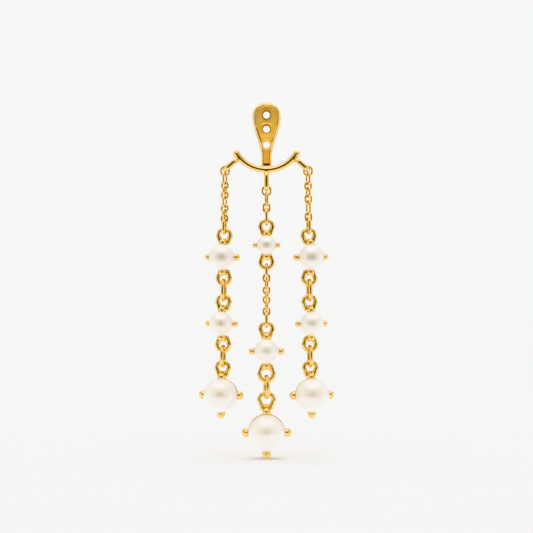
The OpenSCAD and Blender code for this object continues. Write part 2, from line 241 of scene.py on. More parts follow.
def settle(form: Field, vertices: Array, step: float) -> Array:
    """Moves vertices along the field's slope until they lie on its zero surface.

    Args:
        form: Distance of each point, in millimetres.
        vertices: Places near the zero surface.
        step: Grid pitch that they come from.

    Returns:
        The moved vertices.
    """
    reach, longest = SLOPE_REACH * step, LONGEST_MOVE * step
    for _ in range(SETTLE_ROUNDS):
        slope = np.empty_like(vertices)
        for axis in range(3):
            offset = np.zeros(3)
            offset[axis] = reach
            slope[:, axis] = (form(vertices + offset) - form(vertices - offset)) / (2 * reach)
        steepness = np.maximum((slope**2).sum(1), LEAST_SLOPE_SQUARED)
        move = slope * (form(vertices) / steepness)[:, None]
        vertices = vertices - np.clip(move, -longest, longest)
    return vertices


def add_mesh(name: str, vertices: Array, faces: Array, material: bpy.types.Material) -> bpy.types.Object:
    """Makes a smooth mesh object at the origin.

    Args:
        name: Name of the object and its mesh.
        vertices: Places in millimetres.
        faces: Quads as vertex numbers.
        material: What the whole mesh is made of.

    Returns:
        The object, linked to the scene.
    """
    mesh = bpy.data.meshes.new(name)
    mesh.from_pydata((vertices * MM).tolist(), [], faces.tolist())
    mesh.materials.append(material)
    mesh.polygons.foreach_set("use_smooth", np.ones(len(mesh.polygons), bool))
    mesh.update()
    return shown(name, mesh)


def shown(name: str, data: bpy.types.ID) -> bpy.types.Object:
    """Puts a mesh, lamp or camera into the scene.

    Args:
        name: Name of the object.
        data: What it shows.

    Returns:
        The object, at the origin.
    """
    obj = bpy.data.objects.new(name, data)
    bpy.context.scene.collection.objects.link(obj)
    return obj


# Sizes that the pieces share


@dataclass(frozen=True)
class Clearances:
    """Gaps between hanging pieces, in millimetres."""

    link: float = 0.1
    piece: float = 0.06
    pearl: float = 0.04


@dataclass(frozen=True)
class Oval:
    """A closed oval of round wire: outer length, outer width and wire thickness."""

    length: float
    width: float
    wire: float

    @property
    def drop(self) -> float:
        """Height from the middle of its top wire to the middle of its bottom wire."""
        return self.length - self.wire

    def closed_up(self, wire: float, gain: float) -> "Oval":
        """The same link in thicker wire, its inside shorter by gain at each end."""
        extra = wire - self.wire
        return Oval(self.length + 2 * (extra - gain), self.width + WIDENING * extra, wire)


@dataclass(frozen=True)
class SettingSizes:
    """Sizes of a pearl setting, as in the part's table.

    Attributes:
        pearl_d: Diameter of the pearl.
        ahead: How far the pearl's middle lies in front of the strand's line.
        up: From the pearl's middle up to the upper ring's middle.
        down: The same down to the lower ring, or 0 where there is none.
        up_r: Radius of the upper ring's middle line.
        down_r: Radius of the lower ring's middle line, or 0.
        side_ball: Diameter of the balls at the sides.
        end_ball: Diameter of the balls above and below.
        side_out: How far the side balls' middles lie outside the pearl.
        up_out: The same for the upper ball.
        down_out: The same for the lower ball.
        rim_at: How far back the cup's rim lies, as a share of the pearl's radius.
        wall: Thickness of the cup's wall.
    """

    pearl_d: float
    ahead: float
    up: float
    down: float
    up_r: float
    down_r: float
    side_ball: float
    end_ball: float
    side_out: float
    up_out: float
    down_out: float
    rim_at: float
    wall: float

    @property
    def pearl_r(self) -> float:
        """Radius of the pearl."""
        return self.pearl_d / 2


GAPS = Clearances()
LINK_WIRE = 0.26
JOINER_WIRE = 0.42
# The thicker wire that links are drawn in, the gap that it leaves, and what a link gains in width by it
SEEN_WIRE = {LINK_WIRE: 0.37, JOINER_WIRE: 0.56}
SEEN_GAP = 0.01
WIDENING = 0.4
RING_WIRE = 0.62
LOOP_WIRE = 0.66
RING_R = 1.01
LARGE_RING_R = 1.17
# The plane of the bar and the strands, and how far the side strands turn and lean outwards, in degrees
HANG_Y = -0.45
UPPER_TURN = 13.0
LOWER_TURN = 8.0
SIDE_LEAN = 0.65


def plain(length: float) -> Oval:
    """A plain chain link of that outer length."""
    return Oval(length, 1.3, LINK_WIRE)


def first(length: float) -> Oval:
    """The wider link that hangs on a loop."""
    return Oval(length, 1.68, LINK_WIRE)


def joiner(length: float) -> Oval:
    """The thicker link that joins a chain to a setting."""
    return Oval(length, 1.75, JOINER_WIRE)


SIDE_UPPER = SettingSizes(4.05, 1.6, 3.45, 3.37, RING_R, RING_R, 1.1, 1.2, 0.28, 0.3, 0.33, 0.76, 0.2)
SIDE_MIDDLE = SettingSizes(3.82, 1.5, 3.43, 3.36, RING_R, RING_R, 0.98, 1.18, 0.26, 0.26, 0.28, 0.76, 0.2)
SIDE_LOWER = SettingSizes(5.34, 1.9, 4.22, 0.0, RING_R, 0.0, 1.38, 1.34, 0.2, 0.2, 0.38, 0.5, 0.24)
CENTRE_UPPER = SettingSizes(3.08, 1.2, 2.94, 2.72, RING_R, RING_R, 0.86, 1.16, 0.27, 0.28, 0.29, 0.76, 0.2)
CENTRE_MIDDLE = SettingSizes(
    3.92, 1.6, 3.45, 3.66, RING_R, LARGE_RING_R, 1.1, 1.26, 0.34, 0.35, 0.4, 0.76, 0.2
)
CENTRE_LOWER = SettingSizes(5.78, 2.0, 5.04, 0.0, LARGE_RING_R, 0.0, 1.4, 1.38, 0.38, 0.36, 0.56, 0.42, 0.3)

# Link tables and jump rings, from the top down

LEFT_LINKS = (first(1.72), *map(plain, (1.99, 1.42, 1.38, 1.42, 1.94, 1.42, 1.38, 1.52)), joiner(2.52))
RIGHT_LINKS = (first(1.74), *map(plain, (2.05, 1.5, 1.73, 1.6, 2.5, 1.66)), joiner(2.69))
CENTRE_UPPER_LINKS = (first(1.74), plain(2.24), plain(1.7), joiner(2.73))
CENTRE_LOWER_LINKS = (joiner(2.35), *map(plain, (1.52, 1.74, 1.4, 1.36, 1.4, 1.66, 1.52)), joiner(2.6))
SIDE_JUMPS = (Oval(3.74, 2.95, 0.62), Oval(3.71, 2.95, 0.62))
CENTRE_JUMP = Oval(3.99, 3.3, 0.68)


def hung_from(z: float, wire_above: float, wire: float, gap: float) -> float:
    """Height of a top wire that hangs, at that gap, round the wire above, whose middle is at z."""
    return z + (wire_above + wire) / 2 + gap


# Materials


@dataclass(frozen=True)
class GoldFinish:
    """A polished gold surface; with a satin roughness it has satin places and painted shade too."""

    name: str
    colour: Tone
    roughness: float
    grain: float
    satin_roughness: float = 0.0
    satin_colour: Tone = (1.0, 0.63, 0.14)
    # Colour of the painted shade: dark rings and creases that stand in for shade and dark reflections on the
    # frame
    painted_shade_colour: Tone = (0.34, 0.14, 0.02)
    rim_tint: Tone = (1.0, 0.85, 0.55)
    warm_shares: Tone = (0.94, 0.86, 0.7)
    roughness_shares: tuple[float, float] = (0.8, 1.25)
    grain_scale: float = 1400.0
    tone_scale: float = 350.0

    @property
    def warm_colour(self) -> Tone:
        """The colour of its warmer patches."""
        return tuple(c * k for c, k in zip(self.colour, self.warm_shares))


@dataclass(frozen=True)
class PearlFinish:
    """A pearl's warm body, the white of the painted sheen that it turns to at its edge, and its lustre."""

    name: str
    body: Tone
    edge: Tone
    roughness: float
    painted_sheen_spread: float = 0.58
    lustre: float = 3.3
    roughness_shares: tuple[float, float] = (0.9, 1.1)
    tone_scale: float = 350.0


CAST_GOLD = GoldFinish("cast_gold", (0.84, 0.625, 0.245), 0.1, 0.03)
FRAME_GOLD = GoldFinish("frame_gold", (0.87, 0.655, 0.27), 0.12, 0.03, 0.6)
WIRE_GOLD = GoldFinish("wire_gold", (0.87, 0.655, 0.27), 0.09, 0.01)
WHITE_PEARL = PearlFinish("white_pearl", (0.72, 0.645, 0.52), (0.865, 0.855, 0.835), 0.24)


class Nodes:
    """Short ways to add and link the nodes of one tree."""

    def __init__(self, tree: bpy.types.NodeTree) -> None:
        """Takes the tree to write to."""
        self.tree = tree

    def add(self, kind: str, **values: object) -> bpy.types.Node:
        """Adds a node and sets it up.

        Args:
            kind: The node's type.
            values: The node's own properties by name, and its inputs by name with _ for a space, or by
                number after a _. An input's value may be a socket to link.

        Returns:
            The new node.
        """
        node = self.tree.nodes.new(kind)
        for key, value in values.items():
            if hasattr(node, key):
                setattr(node, key, value)
            else:
                name = key[1:]
                self.feed(node.inputs[int(name) if name.isdigit() else key.replace("_", " ")], value)
        return node

    def link(self, source: bpy.types.NodeSocket, target: bpy.types.NodeSocket) -> None:
        """Links two sockets."""
        self.tree.links.new(source, target)

    def feed(self, target: bpy.types.NodeSocket, value: object) -> None:
        """Links a socket to an input, or sets the input to a plain value.

        Args:
            target: The input.
            value: A socket or a plain value.
        """
        if isinstance(value, bpy.types.NodeSocket):
            self.link(value, target)
        else:
            target.default_value = value

    def maths(self, operation: str, a: object, b: object = 0.0) -> bpy.types.NodeSocket:
        """Result of a sum on sockets or plain numbers."""
        return self.add("ShaderNodeMath", operation=operation, _0=a, _1=b).outputs[0]

    def mix(self, share: bpy.types.NodeSocket, a: object, b: object) -> bpy.types.NodeSocket:
        """Mixes two colours.

        Args:
            share: How much of the second colour there is.
            a: A colour socket or a tone.
            b: A colour socket or a tone.

        Returns:
            The mixed colour.
        """
        node = self.add("ShaderNodeMix", data_type="RGBA", Factor=share)
        for socket, value in zip([s for s in node.inputs if s.type == "RGBA"], (a, b)):
            self.feed(socket, (*value, 1.0) if isinstance(value, tuple) else value)
        return next(s for s in node.outputs if s.type == "RGBA")

    def remap(
        self,
        value: bpy.types.NodeSocket,
        source: tuple[float, float],
        target: tuple[float, float] = (0.0, 1.0),
        smooth: bool = False,
    ) -> bpy.types.NodeSocket:
        """Turns one range into another and stops at its ends.

        Args:
            value: What is turned.
            source: The range that it comes from.
            target: The range that it goes to.
            smooth: Whether it eases in and out.

        Returns:
            The value in its new range.
        """
        kind = "SMOOTHSTEP" if smooth else "LINEAR"
        node = self.add("ShaderNodeMapRange", interpolation_type=kind, Value=value)
        for name, number in zip(("From Min", "From Max", "To Min", "To Max"), (*source, *target)):
            node.inputs[name].default_value = number
        return node.outputs["Result"]

    def place(self) -> bpy.types.NodeSocket:
        """Object coordinates, which are the part's own frame in metres."""
        return self.add("ShaderNodeTexCoord").outputs["Object"]


def fine_relief() -> bpy.types.NodeTree:
    """Makes the group for the faint unevenness and tone changes of polished and nacreous surfaces.

    Returns:
        A group with inputs Scale, Strength and Tone Scale and outputs Normal and Tone.
    """
    tree = bpy.data.node_groups.new("fine_relief", "ShaderNodeTree")
    for name, default in (("Scale", 1500.0), ("Strength", 0.05), ("Tone Scale", 350.0)):
        tree.interface.new_socket(name, in_out="INPUT", socket_type="NodeSocketFloat").default_value = default
    tree.interface.new_socket("Normal", in_out="OUTPUT", socket_type="NodeSocketVector")
    tree.interface.new_socket("Tone", in_out="OUTPUT", socket_type="NodeSocketFloat")
    n = Nodes(tree)
    given, out = n.add("NodeGroupInput").outputs, n.add("NodeGroupOutput")
    waves = n.add("ShaderNodeTexNoise", Vector=n.place(), Scale=given["Scale"], Detail=3.0, Roughness=0.55)
    patches = n.add("ShaderNodeTexNoise", Vector=n.place(), Scale=given["Tone Scale"], Detail=2.0)
    bump = n.add("ShaderNodeBump", Strength=given["Strength"], Distance=0.0002, Height=waves.outputs["Fac"])
    n.link(bump.outputs["Normal"], out.inputs["Normal"])
    n.link(patches.outputs["Fac"], out.inputs["Tone"])
    return tree


def new_material(name: str) -> tuple[bpy.types.Material, Nodes, bpy.types.NodeInputs]:
    """Starts a node material.

    Args:
        name: The material's name.

    Returns:
        The material, its node writer and the inputs of its shader.
    """
    material = bpy.data.materials.new(name)
    material.use_nodes = True
    return material, Nodes(material.node_tree), material.node_tree.nodes["Principled BSDF"].inputs


class MaterialShop:
    """Makes each material once."""

    def __init__(self) -> None:
        """Makes the group that the materials share."""
        self.relief = fine_relief()
        self.made: dict[str, bpy.types.Material] = {}

    def gold(self, finish: GoldFinish) -> bpy.types.Material:
        """Polished metal whose tone and roughness vary a little.

        Args:
            finish: Which gold it is.

        Returns:
            The material, which is made the first time only.
        """
        if finish.name in self.made:
            return self.made[finish.name]
        material, n, shader = new_material(finish.name)
        relief = n.add("ShaderNodeGroup", node_tree=self.relief)
        sizes = (("Scale", finish.grain_scale), ("Strength", finish.grain), ("Tone Scale", finish.tone_scale))
        for name, value in sizes:
            relief.inputs[name].default_value = value
        tone = relief.outputs["Tone"]
        colour = n.mix(tone, finish.colour, finish.warm_colour)
        least, most = (share * finish.roughness for share in finish.roughness_shares)
        roughness = n.remap(tone, (0.0, 1.0), (least, most))
        if finish.satin_roughness:
            satin = n.add("ShaderNodeAttribute", attribute_name="satin").outputs["Fac"]
            # Painted shade: the frame's dark rings and creases darken its colour towards dark brown
            painted_shade = n.add("ShaderNodeAttribute", attribute_name="painted_shade").outputs["Fac"]
            colour = n.mix(painted_shade, n.mix(satin, colour, finish.satin_colour), finish.painted_shade_colour)
            more = n.maths("MULTIPLY", satin, finish.satin_roughness - finish.roughness)
            roughness = n.maths("ADD", roughness, more)
        n.link(colour, shader["Base Color"])
        n.link(roughness, shader["Roughness"])
        n.link(relief.outputs["Normal"], shader["Normal"])
        shader["Metallic"].default_value = 1.0
        shader["Specular Tint"].default_value = (*finish.rim_tint, 1.0)
        self.made[finish.name] = material
        return material

    def pearl(self, finish: PearlFinish) -> bpy.types.Material:
        """Nacre: a warm body with a painted sheen that whitens it at its edge, under a soft gloss.

        Args:
            finish: Which pearl it is.

        Returns:
            The material, which is made the first time only.
        """
        if finish.name in self.made:
            return self.made[finish.name]
        material, n, shader = new_material(finish.name)
        relief = n.add("ShaderNodeGroup", node_tree=self.relief)
        relief.inputs["Tone Scale"].default_value = finish.tone_scale
        # Painted sheen: the pearl's own warm colour whitens towards the edge as the surface turns away from
        # the view
        facing = n.add("ShaderNodeLayerWeight", Blend=finish.painted_sheen_spread).outputs["Facing"]
        n.link(n.mix(facing, finish.body, finish.edge), shader["Base Color"])
        least, most = (share * finish.roughness for share in finish.roughness_shares)
        n.link(n.remap(relief.outputs["Tone"], (0.0, 1.0), (least, most)), shader["Roughness"])
        shader["IOR"].default_value = finish.lustre
        self.made[finish.name] = material
        return material


# Geometry Nodes


def geometry_tree(name: str, sizes: dict[str, float]) -> tuple[bpy.types.NodeTree, Nodes, bpy.types.Node]:
    """Starts a tree that turns points into a painted mesh.

    Args:
        name: Name of the tree.
        sizes: Its size inputs by name, with their defaults; a whole number makes a whole-number input.

    Returns:
        The tree, its node writer and its input node.
    """
    tree = bpy.data.node_groups.new(name, "GeometryNodeTree")
    face = tree.interface
    face.new_socket("Geometry", in_out="INPUT", socket_type="NodeSocketGeometry")
    for label, value in sizes.items():
        kind = "NodeSocketInt" if isinstance(value, int) else "NodeSocketFloat"
        face.new_socket(label, in_out="INPUT", socket_type=kind).default_value = value
    face.new_socket("Material", in_out="INPUT", socket_type="NodeSocketMaterial")
    face.new_socket("Geometry", in_out="OUTPUT", socket_type="NodeSocketGeometry")
    n = Nodes(tree)
    return tree, n, n.add("NodeGroupInput")


def paint_and_end(n: Nodes, given: bpy.types.Node, mesh: bpy.types.NodeSocket) -> None:
    """Ends a tree with smooth faces, real instances and its material.

    Args:
        n: The tree's node writer.
        given: The tree's input node.
        mesh: The geometry to finish.
    """
    smooth = n.add("GeometryNodeSetShadeSmooth", _0=mesh)
    real = n.add("GeometryNodeRealizeInstances", Geometry=smooth.outputs[0])
    painted = n.add("GeometryNodeSetMaterial", Geometry=real.outputs["Geometry"])
    n.link(given.outputs["Material"], painted.inputs["Material"])
    n.link(painted.outputs["Geometry"], n.add("NodeGroupOutput").inputs["Geometry"])


def wire_oval_tree() -> bpy.types.NodeTree:
    """Makes the tree that sweeps round wire along one oval for each point of the input mesh.

    Each point is the middle of an oval's top wire and carries oval_length, oval_width, oval_wire and
    oval_turn, in metres and radians.

    Returns:
        A tree with inputs Path Points, Wire Sides and Material.
    """
    tree, n, given = geometry_tree("wire_ovals", {"Path Points": 64, "Wire Sides": 20})

    def stored(name: str, kind: str = "FLOAT") -> bpy.types.NodeSocket:
        """Reads an attribute that the points carry."""
        node = n.add("GeometryNodeInputNamedAttribute", data_type=kind, Name=name)
        return next(s for s in node.outputs if s.enabled and s.name == "Attribute")

    def unit_circle(points: str) -> bpy.types.NodeSocket:
        """Draws a circle of radius 1.

        Args:
            points: Name of the input that says how many points it has.

        Returns:
            The circle's curve.
        """
        circle = n.add("GeometryNodeCurvePrimitiveCircle", mode="RADIUS", Radius=1.0)
        n.link(given.outputs[points], circle.inputs["Resolution"])
        return circle.outputs["Curve"]

    unit = n.add("GeometryNodeStoreNamedAttribute", data_type="FLOAT_VECTOR", domain="POINT")
    unit.inputs["Name"].default_value = "unit_place"
    n.link(unit_circle("Path Points"), unit.inputs["Geometry"])
    place = n.add("GeometryNodeInputPosition").outputs["Position"]
    n.link(place, next(s for s in unit.inputs if s.enabled and s.name == "Value"))
    spread = n.add("GeometryNodeInstanceOnPoints", Points=given.outputs["Geometry"])
    n.link(unit.outputs["Geometry"], spread.inputs["Instance"])
    real = n.add("GeometryNodeRealizeInstances", Geometry=spread.outputs["Instances"])
    start = stored("unit_place", "FLOAT_VECTOR")
    parts = n.add("ShaderNodeSeparateXYZ", Vector=start)
    u, v = parts.outputs["X"], parts.outputs["Y"]
    length, width, wire = stored("oval_length"), stored("oval_width"), stored("oval_wire")
    radius = n.maths("MULTIPLY", n.maths("SUBTRACT", width, wire), 0.5)
    straight = n.maths("SUBTRACT", length, width)
    arc = n.maths("SUBTRACT", n.maths("MULTIPLY", v, radius), radius)
    lower = n.maths("MULTIPLY", n.maths("LESS_THAN", v, 0.0), straight)
    height = n.maths("SUBTRACT", arc, lower)
    across = n.maths("MULTIPLY", u, radius)
    turn = stored("oval_turn")
    x = n.maths("MULTIPLY", across, n.maths("COSINE", turn))
    y = n.maths("MULTIPLY", across, n.maths("SINE", turn))
    local = n.add("ShaderNodeCombineXYZ", X=x, Y=y, Z=height).outputs["Vector"]
    shift = n.add("ShaderNodeVectorMath", operation="SUBTRACT", _0=local, _1=start)
    moved = n.add("GeometryNodeSetPosition", Geometry=real.outputs["Geometry"])
    n.link(shift.outputs["Vector"], moved.inputs["Offset"])
    swept = n.add("GeometryNodeCurveToMesh", Curve=moved.outputs["Geometry"])
    n.link(unit_circle("Wire Sides"), swept.inputs["Profile Curve"])
    n.link(n.maths("MULTIPLY", wire, 0.5), swept.inputs["Scale"])
    paint_and_end(n, given, swept.outputs["Mesh"])
    return tree


def pearl_tree() -> bpy.types.NodeTree:
    """Makes the tree that puts a ball on each point of the input mesh.

    Returns:
        A tree with inputs Diameter, Subdivisions and Material.
    """
    tree, n, given = geometry_tree("pearl_ball", {"Diameter": 0.004, "Subdivisions": 6})
    half = n.maths("MULTIPLY", given.outputs["Diameter"], 0.5)
    sphere = n.add("GeometryNodeMeshIcoSphere", Radius=half, Subdivisions=given.outputs["Subdivisions"])
    spread = n.add("GeometryNodeInstanceOnPoints", Points=given.outputs["Geometry"])
    n.link(sphere.outputs["Mesh"], spread.inputs["Instance"])
    paint_and_end(n, given, spread.outputs["Instances"])
    return tree


def grown(
    name: str,
    points: Array,
    attributes: dict[str, Sequence[float]],
    tree: bpy.types.NodeTree,
    settings: dict[str, object],
) -> bpy.types.Mesh:
    """Runs a Geometry Nodes tree over points and returns the result as a plain mesh.

    Args:
        name: Name of the mesh.
        points: One row per point, in metres.
        attributes: Values per point, by attribute name.
        tree: The tree to run.
        settings: The tree's inputs by name.

    Returns:
        The evaluated mesh, free of modifiers.
    """
    base = bpy.data.meshes.new(name + "_points")
    base.from_pydata(points.tolist(), [], [])
    for key, values in attributes.items():
        base.attributes.new(key, "FLOAT", "POINT").data.foreach_set("value", np.asarray(values, np.float32))
    obj = shown(name + "_points", base)
    modifier = obj.modifiers.new("grow", "NODES")
    modifier.node_group = tree
    for item in tree.interface.items_tree:
        if item.in_out == "INPUT" and item.name in settings:
            modifier[item.identifier] = settings[item.name]
    evaluated = obj.evaluated_get(bpy.context.evaluated_depsgraph_get())
    mesh = bpy.data.meshes.new_from_object(evaluated)
    mesh.name = name
    bpy.data.objects.remove(obj)
    bpy.data.meshes.remove(base)
    for extra in [a.name for a in mesh.attributes if a.name.startswith(("oval_", "unit_"))]:
        mesh.attributes.remove(mesh.attributes[extra])
    return mesh


# Where the strands hang


@dataclass(frozen=True)
class Hook:
    """The place and attitude of a strand, below the middle of its loop's wire."""

    x: float
    z: float
    lean: float
    turn: float

    def place(self, points: Array) -> Array:
        """Puts points that are given from the hook into the part's frame.

        Args:
            points: Places in millimetres, with the strand hanging straight down.

        Returns:
            The same places in the part's frame, in millimetres.
        """
        a, b = math.radians(self.turn), math.radians(self.lean)
        spin = np.array([[math.cos(a), -math.sin(a), 0], [math.sin(a), math.cos(a), 0], [0, 0, 1]])
        tilt = np.array([[math.cos(b), 0, math.sin(b)], [0, 1, 0], [-math.sin(b), 0, math.cos(b)]])
        return points @ (tilt @ spin).T + np.array([self.x, HANG_Y, self.z])


# The frame


@dataclass(frozen=True)
class DishTones:
    """Where the dish is satin and where it has painted shade, in millimetres and shares."""

    past_crest: tuple[float, float] = (0.02, 0.16)
    satin_least: float = 0.72
    satin_z: tuple[float, float] = (1.8, -0.7)
    satin_slant: float = 0.5
    above_bar: tuple[float, float] = (0.9, 1.1)
    satin_depth: float = 0.2
    # Painted shade: dark rings round the holes, and dark creases at the top, the lower left and the low
    # corners
    ring_w: float = 0.16
    ring_dark: float = 0.75
    crease_w: float = 0.1
    crease_depth: float = 0.25
    upper_dark: float = 0.75
    upper_z: tuple[float, float] = (0.3, 0.8)
    upper_x: tuple[float, float] = (0.3, 0.7)
    left_dark: float = 1.25
    left_top_z: tuple[float, float] = (0.5, -0.1)
    left_low_z: tuple[float, float] = (-2.0, -1.5)
    corner_dark: float = 0.7
    corner_top_z: tuple[float, float] = (-5.1, -5.6)
    corner_low_z: tuple[float, float] = (-6.6, -6.4)


@dataclass(frozen=True)
class FrameSizes:
    """Sizes of the plate, the bar and the loops, in millimetres."""

    head_r: float = 2.28
    head_z: float = 2.0
    stem_half_w: float = 0.8
    neck_z: float = -4.8
    plate_t: float = 0.85
    back_y: float = 0.26
    dish: float = 0.33
    scoop: float = 0.04
    dish_low_z: float = -1.9
    dish_high_z: float = -0.7
    crest: float = 0.42
    rim_round: float = 0.36
    edge_round: float = 0.1
    back_round: float = 0.22
    wall_run: float = 0.22
    wall_share: float = 0.5
    bowl_share: float = 1.1
    bowl_half_w: float = 1.75
    bowl_half_h: float = 3.3
    bowl_z: float = 1.7
    narrow_half_w: float = 1.2
    narrow_least: float = 0.5
    rim_slopes: tuple[float, float] = (0.35, 0.65)
    hole_r: float = 0.53
    hole_ease: float = 0.02
    hole_round: float = 0.03
    hole_heights: tuple[float, ...] = (2.26, 0.0, -2.54)
    funnel_r: float = 0.6
    funnel_depth: float = 0.12
    lip_r: float = 0.92
    lip_wire: float = 0.2
    lip_sunk: float = 0.06
    lip_fillet: float = 0.08
    eyelet_r: float = 0.74
    eyelet_wire: float = 0.2
    half_span: float = 4.8
    rise: float = 2.59
    end_z: float = -3.95
    bar_d: float = 1.0
    end_d: float = 1.06
    loop_w: float = 2.1
    loop_angle: float = 49.0
    side_reach: float = 3.03
    centre_reach: float = 3.18
    loop_across: float = 0.41
    loop_thick: float = 0.3
    collar_top_r: float = 0.44
    collar_low_r: float = 0.34
    collar_above: float = 0.1
    collar_below: float = 0.32
    plate_fillet: float = 0.22
    loop_fillet: float = 0.16
    collar_fillet: float = 0.14
    fine_fillet: float = 0.05
    mesh_box: tuple[tuple[float, ...], ...] = ((-7.6, -1.9, -10.5), (7.6, 1.0, 4.6))
    mesh_pitch: float = 0.06

    @property
    def bar_r(self) -> float:
        """Radius of the bar's middle line."""
        return (self.half_span**2 + self.rise**2) / (2 * self.rise)

    @property
    def bar_centre_z(self) -> float:
        """Height of the centre of the bar's arc."""
        return self.end_z - self.rise + self.bar_r


class JacketFrame:
    """The dished plate with its holes, the crescent bar and the three loops, as one casting."""

    OUTLINE_STEPS = (140, 60)
    TABLE_LOW = (-0.12, -8.0)
    TABLE_SIZE = (130, 460)
    TABLE_PITCH = 0.03

    def __init__(self, sizes: FrameSizes) -> None:
        """Works out the plate's outline.

        Args:
            sizes: The casting's sizes.
        """
        self.s = sizes
        self.tones = DishTones()
        self.rim_y = sizes.back_y - sizes.plate_t
        self._outline_table()

    def _half_width(self, z: Array) -> Array:
        """Half the plate's width below its round head."""
        s = self.s
        return s.stem_half_w + (s.head_r - s.stem_half_w) * eased((z - s.neck_z) / (s.head_z - s.neck_z))

    def _outline_table(self) -> None:
        """Tabulates the signed distance to the plate's outline over X and Z."""
        s = self.s
        stem_steps, head_steps = self.OUTLINE_STEPS
        z = np.linspace(s.end_z - s.rise, s.head_z, stem_steps)
        a = np.linspace(0.0, math.pi / 2, head_steps)[1:]
        stem = np.stack([self._half_width(z), z], 1)
        head = np.stack([s.head_r * np.cos(a), s.head_z + s.head_r * np.sin(a)], 1)
        right = np.concatenate([stem, head])
        xs, zs = (low + self.TABLE_PITCH * np.arange(n) for low, n in zip(self.TABLE_LOW, self.TABLE_SIZE))
        grid = np.stack(np.meshgrid(xs, zs, indexing="ij"), -1).reshape(-1, 2)
        start, way = right[:-1], np.diff(right, axis=0)
        best = np.full(len(grid), 1e9)
        for p, d in zip(start, way):
            t = np.clip((grid - p) @ d / (d @ d), 0.0, 1.0)
            best = np.minimum(best, np.hypot(*(grid - p - t[:, None] * d).T))
        edge = np.interp(grid[:, 1], z, self._half_width(z))
        in_head = np.hypot(grid[:, 0], grid[:, 1] - s.head_z) < s.head_r
        within = np.where(grid[:, 1] > s.head_z, in_head, grid[:, 0] < edge)
        self.table = np.where(within, -best, best).reshape(len(xs), len(zs))

    def _outline(self, x: Array, z: Array) -> Array:
        """Signed distance to the outline, read from the table.

        Args:
            x: Places across the plate.
            z: Places up the plate.

        Returns:
            The distance, below zero within the outline.
        """
        low, size, pitch = self.TABLE_LOW, self.TABLE_SIZE, self.TABLE_PITCH
        u = np.clip((np.abs(x) - low[0]) / pitch, 0, size[0] - 1.001)
        v = np.clip((z - low[1]) / pitch, 0, size[1] - 1.001)
        i, j = u.astype(int), v.astype(int)
        a, b = u - i, v - j
        t = self.table
        near = t[i, j] * (1 - a) * (1 - b) + t[i + 1, j] * a * (1 - b) + t[i, j + 1] * (1 - a) * b
        return near + t[i + 1, j + 1] * a * b

    def _inset_share(self, x: Array, z: Array) -> Array:
        """Distance in from the outline, stretched where the plate is narrow.

        Args:
            x: Places across the plate.
            z: Places up the plate.

        Returns:
            The distance, above zero within the outline.
        """
        s = self.s
        half_w = self._half_width(np.minimum(z, s.head_z))
        return -self._outline(x, z) / np.clip(half_w / s.narrow_half_w, s.narrow_least, 1.0)

    def _satin(self, p: Array) -> Array:
        """Share of satin finish: up to 1 on the floor of the dish and on the stem's front, 0 elsewhere.

        Args:
            p: Points in millimetres.

        Returns:
            A share for each point.
        """
        s, t = self.s, self.tones
        x, y, z = p.T
        inside = risen(self._inset_share(x, z) - s.crest, t.past_crest)
        share = t.satin_least + (1.0 - t.satin_least) * risen(z - t.satin_slant * x, t.satin_z)
        above_bar = risen(z - s.end_z + s.rise, t.above_bar)
        return share * inside * above_bar * (y < self.rim_y + s.dish + t.satin_depth)

    def _painted_shade(self, p: Array) -> Array:
        """Share of painted shade: dark rings round the upper holes and thin dark creases inside the rim.

        Args:
            p: Points in millimetres.

        Returns:
            A share for each point.
        """
        s, t = self.s, self.tones
        x, y, z = p.T
        rings = [(np.hypot(x, z - height) - s.funnel_r) / t.ring_w for height in s.hole_heights[:2]]
        ring = t.ring_dark * np.maximum(*(np.exp(-(off**2)) for off in rings))
        crease = np.exp(-(((self._inset_share(x, z) - s.crest - t.past_crest[0]) / t.crease_w) ** 2))
        upper = t.upper_dark * risen(z, t.upper_z) * risen(np.abs(x), t.upper_x)
        lower_left = t.left_dark * risen(z, t.left_top_z) * risen(z, t.left_low_z) * (x < 0)
        corners = t.corner_dark * risen(z, t.corner_top_z) * risen(z, t.corner_low_z)
        where = np.maximum(np.maximum(upper, lower_left), corners)
        return np.maximum(ring, crease * where) * (y < self.rim_y + s.dish + t.crease_depth)

    def _plate(self, p: Array) -> Array:
        """Distance to the plate without its holes: a dished front with a soft rim, and a flat back.

        Args:
            p: Points in millimetres.

        Returns:
            The distance of each point.
        """
        s = self.s
        x, y, z = p.T
        edge = self._outline(x, z)
        share = self._inset_share(x, z)
        hollow = s.scoop + (s.dish - s.scoop) * eased((z - s.dish_low_z) / (s.dish_high_z - s.dish_low_z))
        wall = np.sin(math.pi / 2 * np.clip((share - s.crest) / s.wall_run, 0, 1))
        bowl = np.maximum(1 - (x / s.bowl_half_w) ** 2 - ((z - s.bowl_z) / s.bowl_half_h) ** 2, 0.0) ** 2
        drop = hollow * (s.wall_share * wall + s.bowl_share * bowl)
        slope = np.clip((s.crest - share) / s.crest, 0.0, 1.0)
        first_slope, last_slope = s.rim_slopes
        front = self.rim_y + s.rim_round * (first_slope * slope + last_slope * slope**2) + drop
        solid = keep_both(keep_both(edge, front - y, s.edge_round), y - s.back_y, s.back_round)
        return np.maximum(solid, s.end_z - s.rise - z)

